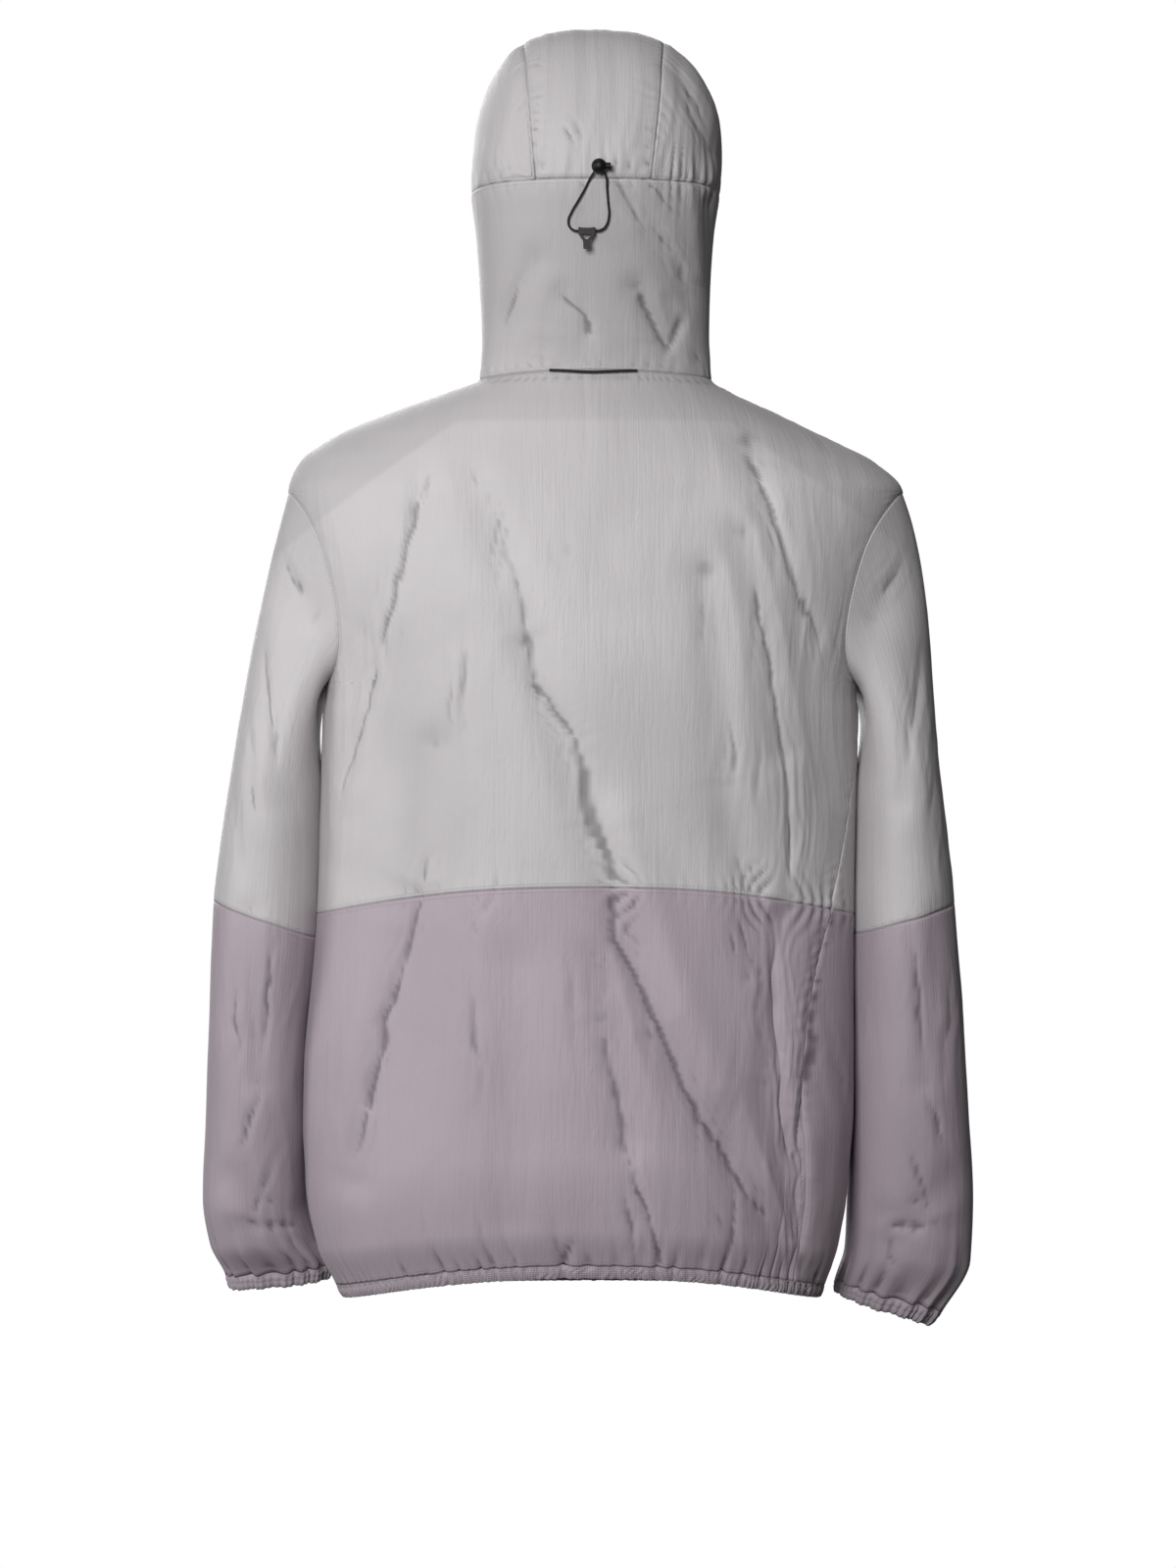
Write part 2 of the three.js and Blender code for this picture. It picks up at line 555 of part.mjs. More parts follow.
// Rows of a panel of the upper body, whose side edges become armholes
function upperRows(edgesAt, count, sides) {
  const levels = [...UPPER_LOW_ROWS, ...ARMHOLE_ROWS.slice(1), ...SHOULDER_ROWS.slice(1)];
  return levels.map((level) => {
    const row = panelRow(level, ...edgesAt(level), count);
    if (level >= ARMPIT && level <= ARMHOLE_TOP) {
      for (const { side, at, facingBack } of sides) {
        row[at === 0 ? 0 : row.length - 1] = armholePoint(side, level, facingBack);
      }
    }
    return row;
  });
}

// Rows of a panel of the lower body: finer near the hem, where they carry the gathers
function lowerRows(edgesAt, count, gathers) {
  return LOWER_ROWS.map((level, row) => {
    const gathered = row < GATHERED_LOWER_ROWS;
    const height = gathered ? HEM_GATHER_HEIGHTS[row] : 0;
    return panelRow(level, ...edgesAt(level), gathered ? gathers * COLUMNS_PER_GATHER : count, height);
  });
}

// Moves the edges of a panel off their seams, square to each seam and within the cloth
function insetEdges(rows, { ring = false, gap = SEAM_GAP / 2 } = {}) {
  const moves = new Map();
  const note = (point, edge, index, inner) => {
    const before = edge[index > 0 ? index - 1 : ring ? edge.length - 1 : 0];
    const after = edge[index < edge.length - 1 ? index + 1 : ring ? 0 : edge.length - 1];
    const square = after.p.clone().sub(before.p).cross(point.n).normalize();
    if (square.dot(inner.p.clone().sub(point.p)) < 0) square.negate();
    moves.set(point, (moves.get(point) ?? new THREE.Vector3()).add(square.multiplyScalar(gap)));
  };
  const nearest = (row, share) => row[Math.round(share * (row.length - 1))];
  const last = rows.length - 1;
  for (const [row, inner] of [[rows[0], rows[1]], [rows[last], rows[last - 1]]]) {
    const step = 1 / Math.max(1, row.length - 1);
    row.forEach((point, index) => note(point, row, index, nearest(inner, index * step)));
  }
  if (!ring) {
    const left = rows.map((row) => row[0]);
    const right = rows.map((row) => row[row.length - 1]);
    left.forEach((point, index) => note(point, left, index, rows[index][1]));
    right.forEach((point, index) => note(point, right, index, rows[index][rows[index].length - 2]));
  }
  const moved = (point) => clothPoint(point.p.clone().add(moves.get(point)), point.n);
  return rows.map((row) => row.map((point) => (moves.has(point) ? moved(point) : point)));
}

// The triangles between two rows that may have different numbers of points, each corner as its row and place.
// Where the numbers are the same, each square is cut along its shorter diagonal.
function stitch(low, high, ring) {
  const lowSteps = ring ? low.length : low.length - 1;
  const highSteps = ring ? high.length : high.length - 1;
  const square = lowSteps === highSteps;
  const triangles = [];
  let i = 0;
  let j = 0;
  while (i < lowSteps || j < highSteps) {
    const [a, b] = [i % low.length, j % high.length];
    const [nextA, nextB] = [(i + 1) % low.length, (j + 1) % high.length];
    const lowFirst = square
      ? i === j && low[nextA].p.distanceTo(high[b].p) <= low[a].p.distanceTo(high[nextB].p)
      : (i + 1) / lowSteps <= (j + 1) / highSteps;
    const advanceLow = j >= highSteps || (i < lowSteps && (square && i !== j ? i < j : lowFirst));
    triangles.push(advanceLow ? [[0, a], [0, nextA], [1, b]] : [[0, a], [1, nextB], [1, b]]);
    if (advanceLow) i += 1;
    else j += 1;
  }
  return triangles;
}

// A closed wall of cloth through rows of points: outer face, inner face and the rims between them
function clothWall(rows, { ring = false, thickness = WALL } = {}) {
  const positions = [];
  const indices = [];
  const known = new Map();
  const vertex = (v) => {
    const key = [v.x, v.y, v.z].map((value) => Math.round(value * 1000)).join();
    if (!known.has(key)) {
      known.set(key, positions.length / 3);
      positions.push(v.x, v.y, v.z);
    }
    return known.get(key);
  };
  const triangle = (a, b, c) => {
    if (a !== b && b !== c && c !== a) indices.push(a, b, c);
  };
  const place = (offset) => ({ p, n }) => vertex(p.clone().addScaledVector(n, offset));
  const layer = (offset) => rows.map((row) => row.map(place(offset)));
  const outer = layer(thickness / 2);
  const inner = layer(-thickness / 2);
  for (let row = 0; row < rows.length - 1; row += 1) {
    for (const corners of stitch(rows[row], rows[row + 1], ring)) {
      const [a, b, c] = corners.map(([up, index]) => outer[row + up][index]);
      const [d, e, f] = corners.map(([up, index]) => inner[row + up][index]);
      triangle(a, b, c);
      triangle(d, f, e);
    }
  }
  const rim = (outside, inside, closed) => {
    const steps = closed ? outside.length : outside.length - 1;
    for (let i = 0; i < steps; i += 1) {
      const j = (i + 1) % outside.length;
      triangle(outside[i], inside[i], outside[j]);
      triangle(outside[j], inside[i], inside[j]);
    }
  };
  const last = rows.length - 1;
  rim(outer[0], inner[0], ring);
  rim([...outer[last]].reverse(), [...inner[last]].reverse(), ring);
  if (!ring) {
    const ends = (layerRows) => layerRows.map((row) => row[row.length - 1]);
    const starts = (layerRows) => layerRows.map((row) => row[0]);
    rim(ends(outer), ends(inner), false);
    rim(starts(outer).reverse(), starts(inner).reverse(), false);
  }
  if (volumeOf(positions, indices) < 0) indices.reverse();
  const geometry = new THREE.BufferGeometry();
  geometry.setAttribute("position", new THREE.Float32BufferAttribute(positions, 3));
  geometry.setIndex(indices);
  geometry.computeVertexNormals();
  return geometry;
}

// The volume that a closed set of triangles holds, negative if they face inwards
function volumeOf(positions, indices) {
  const at = (index) => new THREE.Vector3().fromArray(positions, index * 3);
  let volume = 0;
  for (let i = 0; i < indices.length; i += 3) {
    volume += at(indices[i]).dot(at(indices[i + 1]).cross(at(indices[i + 2]))) / 6;
  }
  return volume;
}

function addMesh(name, geometry, finish) {
  const mesh = new THREE.Mesh(geometry, new THREE.MeshStandardMaterial(finish));
  mesh.name = name;
  jacket.add(mesh);
  return mesh;
}

const SIDES = [
  { side: 1, name: "left" },
  { side: -1, name: "right" },
];

// The back: one light panel above the colour seam and one darker panel below it
function addBack() {
  const sides = [
    { side: -1, at: 0, facingBack: true },
    { side: 1, at: 1, facingBack: true },
  ];
  const upper = insetEdges(upperRows(backEdges, BACK_COLUMNS, sides));
  addMesh("back_upper", clothWall(upper), GREY);
  addMesh("back_lower", clothWall(insetEdges(lowerRows(backEdges, BACK_COLUMNS, BACK_GATHERS))), MAUVE);
}

function addFronts() {
  for (const { side, name } of SIDES) {
    const edgesAt = (level) => frontEdges(side, level);
    const upper = upperRows(edgesAt, FRONT_COLUMNS, [{ side, at: 0, facingBack: false }]);
    addMesh("front_upper_" + name, clothWall(insetEdges(upper)), GREY);
    const lower = lowerRows(edgesAt, FRONT_COLUMNS, FRONT_GATHERS);
    addMesh("front_lower_" + name, clothWall(insetEdges(lower)), MAUVE);
  }
}

// The elastic hem band: from one edge of the zip, round the back, to the other
function addHemBand() {
  const rows = [HEM_BOTTOM, HEM_TOP].map((level) => {
    const height = level === HEM_TOP ? HEM_GATHER_HEIGHTS[0] : BAND_GATHER_HEIGHT;
    const [right, rightZip] = frontEdges(-1, level);
    const [left, leftZip] = frontEdges(1, level);
    const fronts = FRONT_GATHERS * COLUMNS_PER_GATHER;
    const rightPart = panelRow(level, rightZip, right, fronts, height);
    const backPart = panelRow(level, ...backEdges(level), BACK_GATHERS * COLUMNS_PER_GATHER, height);
    const leftPart = panelRow(level, left, leftZip, fronts, height);
    return [...rightPart, ...backPart.slice(1), ...leftPart.slice(1)];
  });
  addMesh("hem_band", clothWall(insetEdges(rows), { thickness: BAND_WALL }), MAUVE_BAND);
}

function addSleeves() {
  for (const { side, name } of SIDES) {
    const table = side > 0 ? LEFT_SLEEVE : RIGHT_SLEEVE;
    const cuffLow = table[table.length - 1].level;
    const cuffHigh = table[table.length - 2].level;
    const seam = armholes[side];
    const fine = CUFF_GATHERS * COLUMNS_PER_GATHER;
    const middle = SLEEVE_MID_ROWS.map((level) => sleeveRow(side, level, seam.length));
    const upper = [...capRows(side, seam), ...middle.slice(1)];
    addMesh("sleeve_upper_" + name, clothWall(insetEdges(upper, { ring: true }), { ring: true }), GREY);
    const gathered = [
      sleeveRow(side, cuffHigh + 16, fine, CUFF_GATHER_HEIGHTS[0]),
      sleeveRow(side, cuffHigh, fine, CUFF_GATHER_HEIGHTS[1]),
    ];
    const lower = [...SLEEVE_LOW_ROWS.map((level) => sleeveRow(side, level, seam.length)), ...gathered];
    addMesh("sleeve_lower_" + name, clothWall(insetEdges(lower, { ring: true }), { ring: true }), MAUVE);
    const band = [
      sleeveRow(side, cuffHigh, fine, CUFF_GATHER_HEIGHTS[1]),
      sleeveRow(side, cuffLow, fine, BAND_GATHER_HEIGHT),
    ];
    const cuff = clothWall(insetEdges(band, { ring: true }), { ring: true, thickness: BAND_WALL });
    addMesh("cuff_" + name, cuff, MAUVE_BAND);
  }
}

// A point of the hood's crown, from its side view. y and z are measured from the crown's own middle.
function crownFromSide(side, y, z) {
  const reachY = y >= 0 ? CROWN.back : CROWN.front;
  const { roundness, square, height } = CROWN;
  const away = (Math.abs(y / reachY) ** roundness + Math.abs(z / height) ** roundness) ** (1 / roundness);
  const reachX = side > 0 ? CROWN.left : CROWN.right;
  const x = reachX * Math.max(0, 1 - Math.min(1, away) ** square) ** (1 / square);
  return new THREE.Vector3(side * x, y, CHANNEL + z);
}

// A point of the crown from its distance beside the middle and its angle over the top, counted from the back
function crownFromAngle(x, angle) {
  const reachX = x >= 0 ? CROWN.left : CROWN.right;
  const share = (1 - Math.abs(x / reachX) ** CROWN.square) ** (1 / CROWN.square);
  const c = Math.cos(angle * RADIANS);
  const s = Math.sin(angle * RADIANS);
  const y = share * (c >= 0 ? CROWN.back : CROWN.front) * signedPower(c, 2 / CROWN.roundness);
  const z = share * CROWN.height * signedPower(s, 2 / CROWN.roundness);
  return new THREE.Vector3(x, y, CHANNEL + z);
}

// The way out of the crown at a point, from its side view
function crownFacing(p) {
  const reachX = p.x >= 0 ? CROWN.left : CROWN.right;
  const reachY = p.y >= 0 ? CROWN.back : CROWN.front;
  const z = Math.max(0, p.z - CHANNEL);
  const { roundness, square, height } = CROWN;
  const inner = Math.abs(p.y / reachY) ** roundness + Math.abs(z / height) ** roundness;
  const chain = Math.max(1e-6, inner) ** (square / roundness - 1);
  const slope = (value, reach, power) => (signedPower(value / reach, power - 1) * power) / reach;
  return new THREE.Vector3(
    slope(p.x, reachX, square),
    (chain * square * slope(p.y, reachY, roundness)) / roundness,
    (chain * square * slope(z, height, roundness)) / roundness,
  ).normalize();
}

// The middle panel's half width at an angle over the top
const middleHalf = (angle) =>
  MIDDLE_PANEL_LOW + (MIDDLE_PANEL_HIGH - MIDDLE_PANEL_LOW) * Math.sin(Math.min(90, angle) * RADIANS);

// Angles of the crown's rows, from the channel at the back to the forehead
const crownAngles = Array.from({ length: CROWN_ROWS + 1 }, (_, row) => (FOREHEAD * row) / CROWN_ROWS);

// A point of the crown's cloth, with the folds at its back
function crownPoint(p) {
  const n = crownFacing(p);
  const depth = p.y > 0 ? foldDepth(HOOD_FOLDS, p.x, p.z) * Math.min(1, p.y / 20) : 0;
  const swell = p.x < 0 ? CROWN.bulge * Math.sin((Math.PI * (p.z - CHANNEL)) / CROWN.height) : 0;
  const at = new THREE.Vector3(p.x * (1 + swell), p.y, p.z);
  return clothPoint(at.addScaledVector(n, -depth), n);
}

// The angle on one of the body's sections of a point beside the middle of the back
function backAngle(x, level) {
  const reach = x >= 0 ? section.left(level) : section.right(level);
  const lean = Math.acos((Math.abs(x) / reach) ** (section.square(level) / 2)) / RADIANS;
  return x >= 0 ? lean : 180 - lean;
}

// A point of the back or of the hood's back, from where it is seen from behind
function pointFromBehind(x, z) {
  if (z <= CHANNEL) {
    const level = z - section.lift(z);
    return bodyPoint(backAngle(x, level), level);
  }
  const reachX = x >= 0 ? CROWN.left : CROWN.right;
  const share = (1 - Math.abs(x / reachX) ** CROWN.square) ** (CROWN.roundness / CROWN.square);
  const rise = ((z - CHANNEL) / CROWN.height) ** CROWN.roundness;
  return crownPoint(new THREE.Vector3(x, CROWN.back * (share - rise) ** (1 / CROWN.roundness), z));
}

// Places along the drawcord channel, as angles of the body, from the right cheek round to the left cheek
function channelAngles() {
  const cheekLean = 90 - faceOpening(CHANNEL) - FACE_BINDING;
  const rightCorner = backAngle(-MIDDLE_PANEL_LOW, CHANNEL);
  const leftCorner = backAngle(MIDDLE_PANEL_LOW, CHANNEL);
  const run = (from, to, count) => Array.from({ length: count }, (_, i) => from + ((to - from) * i) / count);
  return [
    ...run(180 + cheekLean, rightCorner, HOOD_LOW_SIDE_COLUMNS),
    ...run(rightCorner, leftCorner, CROWN_COLUMNS),
    ...run(leftCorner, -cheekLean, HOOD_LOW_SIDE_COLUMNS),
    -cheekLean,
  ];
}

// The seam along the channel. Its facing is halfway between that of the hood's lower panel and of its crown.
const channelSeam = channelAngles().map((angle, index) => {
  const low = bodyPoint(angle, CHANNEL);
  const n = low.n.clone().add(crownFacing(low.p)).normalize();
  const wave = CHANNEL_GATHER_HEIGHT * (Math.cos((2 * Math.PI * index) / COLUMNS_PER_GATHER) - 1);
  return clothPoint(low.p.addScaledVector(n, wave), n);
});

// The hood's lower panel, which is also the collar: from the neck seam to the channel, open at the face
function hoodLowRows() {
  const seamAngles = channelAngles();
  const count = seamAngles.length - 1;
  const spread = seamAngles.map((angle) => (angle - seamAngles[0]) / (seamAngles[count] - seamAngles[0]));
  const levels = [...COLLAR_ROWS, ...HOOD_LOW_ROWS.slice(1)];
  return levels.map((level) => {
    if (level === CHANNEL) return channelSeam;
    const onZip = level <= CHIN;
    const right = onZip ? zipAngle(-1, TAPE_HALF, level) : 270 - faceOpening(level) - FACE_BINDING;
    const left = onZip ? zipAngle(1, TAPE_HALF, level) : -90 + faceOpening(level) + FACE_BINDING;
    return spread.map((share) => bodyPoint(right + (left - right) * share, level));
  });
}

function addHoodLow() {
  addMesh("hood_lower", clothWall(insetEdges(hoodLowRows())), GREY);
}

function addHoodMiddle() {
  const firstColumn = HOOD_LOW_SIDE_COLUMNS;
  const rows = crownAngles.map((angle, row) => {
    if (row === 0) return channelSeam.slice(firstColumn, firstColumn + CROWN_COLUMNS + 1);
    const half = middleHalf(angle);
    return Array.from({ length: CROWN_COLUMNS + 1 }, (_, i) =>
      crownPoint(crownFromAngle(-half + (2 * half * i) / CROWN_COLUMNS, angle)),
    );
  });
  addMesh("hood_middle", clothWall(insetEdges(rows)), GREY);
}

// The crown's side panels: rows run from the channel up to the seam of the middle panel
function hoodSideRows(side) {
  const seam = side > 0 ? [...channelSeam].reverse() : channelSeam;
  const low = seam.slice(0, HOOD_LOW_SIDE_COLUMNS + 1);
  const seamPoint = (angle) => crownPoint(crownFromAngle(side * middleHalf(angle), angle));
  const high = [...crownAngles].reverse().map(seamPoint);
  high[high.length - 1] = low[low.length - 1];
  return Array.from({ length: SIDE_CROWN_ROWS + 1 }, (_, row) => {
    if (row === 0) return low;
    if (row === SIDE_CROWN_ROWS) return high;
    const share = row / SIDE_CROWN_ROWS;
    return low.map((point, index) => {
      if (index === low.length - 1) return point;
      const y = point.p.y + (high[index].p.y - point.p.y) * share;
      return crownPoint(crownFromSide(side, y, (high[index].p.z - CHANNEL) * share));
    });
  });
}

function addHoodSides() {
  for (const { side, name } of SIDES) {
    const rows = hoodSideRows(side);
    const corner = rows[0][rows[0].length - 1];
    const inset = insetEdges(rows);
    const moved = inset[0][inset[0].length - 1];
    inset.forEach((row) => (row[row.length - 1] = moved));
    addMesh("hood_side_" + name, clothWall(inset), GREY);
    if (corner.p.distanceTo(moved.p) > 4 * SEAM_GAP) throw new Error("the hood's corner moved too far");
  }
}

// The elastic binding round the face opening, from chin to chin over the forehead
function addHoodBinding() {
  const levels = [...HOOD_LOW_ROWS];
  const cheek = (side, level, extra) => {
    if (level === CHIN && extra === 0) return bodyPoint(zipAngle(side, TAPE_HALF, level), level);
    const lean = level === CHIN ? FACE_OPENING[0].half : faceOpening(level) + FACE_BINDING - extra;
    return bodyPoint(side > 0 ? -90 + lean : 270 - lean, level);
  };
  const up = (side, extra) => levels.slice(1, -1).map((level) => cheek(side, level, extra));
  const rightInner = up(-1, 0);
  const leftInner = up(1, 0).reverse();
  const rightOuter = up(-1, FACE_BINDING);
  const leftOuter = up(1, FACE_BINDING).reverse();
  const sideInner = (side) => hoodSideRows(side).map((row) => row[0]);
  const sideOuter = (side) => {
    const top = crownFromAngle(side * middleHalf(FOREHEAD), FOREHEAD + FOREHEAD_BINDING);
    const topZ = top.z - CHANNEL;
    const bottom = sideInner(side)[0];
    return Array.from({ length: SIDE_CROWN_ROWS + 1 }, (_, row) => {
      const share = row / SIDE_CROWN_ROWS;
      const lowY = bottom.p.y - CHEEK_BINDING;
      return crownPoint(crownFromSide(side, lowY + (top.y - lowY) * share, topZ * share));
    });
  };
  const topRow = (angle) => {
    const half = middleHalf(FOREHEAD);
    return Array.from({ length: CROWN_COLUMNS - 1 }, (_, i) =>
      crownPoint(crownFromAngle(-half + (2 * half * (i + 1)) / CROWN_COLUMNS, angle)),
    );
  };
  const inner = [
    ...rightInner,
    ...sideInner(-1),
    ...topRow(FOREHEAD),
    ...sideInner(1).reverse(),
    ...leftInner,
  ];
  const outer = [
    ...rightOuter,
    ...sideOuter(-1),
    ...topRow(FOREHEAD + FOREHEAD_BINDING),
    ...sideOuter(1).reverse(),
    ...leftOuter,
  ];
  addMesh("hood_binding", clothWall(insetEdges([outer, inner]), { thickness: BAND_WALL }), TAPE_GREY);
}

// The zip's two tapes, which run from the hem's lower edge to the chin
function addZipTapes() {
  const stretches = [[HEM_BOTTOM], LOWER_ROWS, UPPER_LOW_ROWS, ARMHOLE_ROWS, SHOULDER_ROWS, COLLAR_ROWS];
  const levels = [...new Set(stretches.flat())];
  for (const { side, name } of SIDES) {
    const rows = levels.map((level) =>
      [TAPE_HALF, 0].map((beside) => bodyPoint(zipAngle(side, beside, level), level)),
    );
    addMesh("zip_tape_" + name, clothWall(insetEdges(rows)), TAPE_GREY);
  }
}

// A closed three.js geometry as a solid that can be joined
function solidOf(geometry) {
  const positions = geometry.getAttribute("position");
  const known = new Map();
  const vertices = [];
  const ids = [];
  for (let i = 0; i < positions.count; i += 1) {
    const v = [positions.getX(i), positions.getY(i), positions.getZ(i)];
    const key = v.map((value) => Math.round(value * 1e4)).join();
    if (!known.has(key)) {
      known.set(key, vertices.length / 3);
      vertices.push(...v);
    }
    ids.push(known.get(key));
  }
  const order = geometry.index ? [...geometry.index.array] : ids.map((_, i) => i);
  const triangles = [];
  for (let i = 0; i < order.length; i += 3) {
    const [a, b, c] = [ids[order[i]], ids[order[i + 1]], ids[order[i + 2]]];
    if (a !== b && b !== c && c !== a) triangles.push(a, b, c);
  }
  return new wasm.Manifold(
    new wasm.Mesh({
      numProp: 3,
      vertProperties: new Float32Array(vertices),
      triVerts: new Uint32Array(triangles),
    }),
  );
}

function geometryOf(solid) {
  const mesh = solid.getMesh();
  const geometry = new THREE.BufferGeometry();
  geometry.setAttribute("position", new THREE.Float32BufferAttribute(mesh.vertProperties, 3));
  geometry.setIndex([...mesh.triVerts]);
  return geometry;
}

// A flat shape drawn out to a depth
function slab(shape, depth) {
  return new THREE.ExtrudeGeometry(shape, { depth, bevelEnabled: false, curveSegments: CURVE_SEGMENTS });
}

// Sets a mesh that was made facing -Y on the front centre of the cloth, a distance out from its outer face
function seatOnFront(mesh, seat, distance) {
  mesh.position.copy(seat.p).addScaledVector(seat.n, WALL / 2 + RESTING + distance);
  mesh.rotation.x = Math.atan2(-seat.n.z, -seat.n.y);
}

// The outline of the slider's bridge, from the side: X runs along the zip and Y into the cloth
function bridgeOutline() {
  const { half, rise, wall, round, foot } = BRIDGE;
  const outline = new THREE.Shape();
  outline.moveTo(-half, foot);
  outline.lineTo(-half, round - rise);
  outline.quadraticCurveTo(-half, -rise, round - half, -rise);
  outline.lineTo(half - round, -rise);
  outline.quadraticCurveTo(half, -rise, half, round - rise);
  outline.lineTo(half, foot);
  outline.lineTo(half - wall, foot);
  outline.lineTo(half - wall, wall - rise);
  outline.lineTo(wall - half, wall - rise);
  outline.lineTo(wall - half, foot);
  return outline;
}

const sliderSeat = bodyPoint(270, SLIDER.level);

// The slider on the closed zip just under the chin: a plate with a tapered foot, and the bridge for the pull
function addSlider() {
  const shield = new THREE.Shape();
  const half = SLIDER.width / 2;
  const end = SLIDER.length / 2;
  shield.moveTo(-half, end);
  shield.lineTo(half, end);
  shield.lineTo(half, -end * TAPER.shoulder);
  shield.quadraticCurveTo(half * TAPER.knee, -end, half * TAPER.foot, -end);
  shield.lineTo(-half * TAPER.foot, -end);
  shield.quadraticCurveTo(-half * TAPER.knee, -end, -half, -end * TAPER.shoulder);
  const plate = slab(shield, SLIDER.plate);
  plate.rotateX(Math.PI / 2);
  const arch = slab(bridgeOutline(), BRIDGE.width);
  arch.translate(0, 0, -BRIDGE.width / 2);
  arch.rotateY(-Math.PI / 2);
  arch.translate(0, -SLIDER.plate, 0);
  const mesh = addMesh("zip_slider", geometryOf(solidOf(plate).add(solidOf(arch))), BLACK);
  seatOnFront(mesh, sliderSeat, 0);
}

// The pull tab hangs straight down from the slider's bridge by an eye
function addPull() {
  const outline = new THREE.Shape();
  const half = PULL.width / 2;
  const top = PULL.topBar / 2;
  outline.moveTo(-half, top);
  outline.lineTo(half, top);
  outline.lineTo(half, PULL.round - PULL.length);
  outline.quadraticCurveTo(half, -PULL.length, half - PULL.round, -PULL.length);
  outline.lineTo(PULL.round - half, -PULL.length);
  outline.quadraticCurveTo(-half, -PULL.length, -half, PULL.round - PULL.length);
  const eye = new THREE.Path();
  const eyeHalf = PULL.eyeWidth / 2;
  eye.moveTo(-eyeHalf, -top);
  eye.lineTo(-eyeHalf, -top - PULL.eyeLength);
  eye.lineTo(eyeHalf, -top - PULL.eyeLength);
  eye.lineTo(eyeHalf, -top);
  outline.holes.push(eye);
  const tab = slab(outline, PULL.thickness);
  tab.translate(0, 0, -PULL.thickness / 2);
  tab.rotateX(Math.PI / 2);
  const mesh = addMesh("zip_pull", tab, BLACK);
  seatOnFront(mesh, sliderSeat, SLIDER.plate + PULL.pivotRise);
  mesh.rotation.x = 0;
}

// The box at the foot of the zip, on the outer face of the tapes
function addZipBox() {
  const { width, thickness, height, above } = ZIP_BOX;
  const mesh = addMesh("zip_box", new THREE.BoxGeometry(width, thickness, height), BLACK);
  seatOnFront(mesh, bodyPoint(270, HEM_BOTTOM + height / 2 + above), thickness / 2);
}

// A cord through points: a round section drawn along a smooth path
function cordGeometry(points, radius, steps) {
  const corners = Array.from({ length: CORD_SIDES }, (_, side) => {
    const turn = (2 * Math.PI * side) / CORD_SIDES;
    return new THREE.Vector2(Math.cos(turn) * radius, Math.sin(turn) * radius);
  });
  const extrudePath = new THREE.CatmullRomCurve3(points, false, "centripetal");
  return new THREE.ExtrudeGeometry(new THREE.Shape(corners), { steps, extrudePath, bevelEnabled: false });
}

// A place outside the cloth as seen from behind. out: from the middle of the cloth to the place.
function offBack({ x, z, out }) {
  const cloth = pointFromBehind(x, z);
  return cloth.p.addScaledVector(cloth.n, WALL / 2 + out);
}

function addCords() {
  addMesh("hood_cord", cordGeometry(CORD_LOOP.map(offBack), CORD_RADIUS, CORD_STEPS), BLACK_CORD);
  addMesh("hanger_loop", cordGeometry(HANGER_LOOP.map(offBack), HANGER_RADIUS, CORD_STEPS / 2), BLACK_CORD);
}

// A round rod that lies along X
function rod(radius, length, sides) {
  return new THREE.CylinderGeometry(radius, radius, length, sides).rotateZ(Math.PI / 2);
}

// The lock: a ball with a bore on the wearer's right, and the sprung plunger in it
function addLock() {
  const place = offBack({ ...LOCK, out: RESTING + LOCK.radius });
  const ball = solidOf(new THREE.SphereGeometry(LOCK.radius, FINE_SIDES, 12));
  const bore = solidOf(rod(LOCK.boreRadius, 2 * LOCK.boreDepth, FINE_SIDES));
  const body = ball.subtract(bore.translate([-LOCK.radius, 0, 0]));
  addMesh("cord_lock", geometryOf(body), BLACK).position.copy(place);
  const mesh = addMesh("lock_plunger", rod(PLUNGER.radius, PLUNGER.length, FINE_SIDES), BLACK);
  mesh.position.copy(place);
  mesh.position.x += PLUNGER.length / 2 - LOCK.radius - PLUNGER.showing;
}

// The cord end: a bored bar that the cord runs through, two legs that meet below an opening, and a stem
function addCordEnd() {
  const { width, bar, neck, neckLow, stem, height, thickness, bore, corner, hollow } = CORD_END;
  const eye = CORD_END_EYE;
  const half = width / 2;
  const outline = new THREE.Shape();
  const top = bar / 2 + corner;
  outline.moveTo(-half, top);
  outline.quadraticCurveTo(0, top - hollow, half, top);
  outline.lineTo(half, -bar / 2);
  outline.lineTo(neck / 2, -neckLow);
  outline.lineTo(stem / 2, bar / 2 - height);
  outline.lineTo(-stem / 2, bar / 2 - height);
  outline.lineTo(-neck / 2, -neckLow);
  outline.lineTo(-half, -bar / 2);
  const opening = new THREE.Path();
  opening.moveTo(-eye.top, -eye.from);
  opening.lineTo(-eye.low, -eye.to);
  opening.lineTo(eye.low, -eye.to);
  opening.lineTo(eye.top, -eye.from);
  outline.holes.push(opening);
  const tab = slab(outline, thickness);
  tab.translate(0, 0, -thickness / 2);
  tab.rotateX(Math.PI / 2);
  const hole = rod(bore, 2 * width, BORE_SIDES);
  const mesh = addMesh("cord_end", geometryOf(solidOf(tab).subtract(solidOf(hole))), BLACK);
  mesh.position.copy(offBack({ ...CORD_END, out: CORD_LOOP.find(({ x }) => x === CORD_END.x).out }));
}

addBack();
addFronts();
addHemBand();
addSleeves();
addHoodLow();
addHoodMiddle();
addHoodSides();
addHoodBinding();
addZipTapes();
addSlider();
addPull();
addZipBox();
addCords();
addLock();
addCordEnd();

export default jacket;
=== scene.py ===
"""Dresses the hooded windbreaker: cloth panels, elastic bands, zip, drawcord, studio light and camera.

Lengths in the tables are millimetres, as in the part's source. Angles are degrees. A body angle of 0 is the
wearer's left side, 90 the middle of the back and 270 the front centre. Meshes are made in metres.
"""

from __future__ import annotations

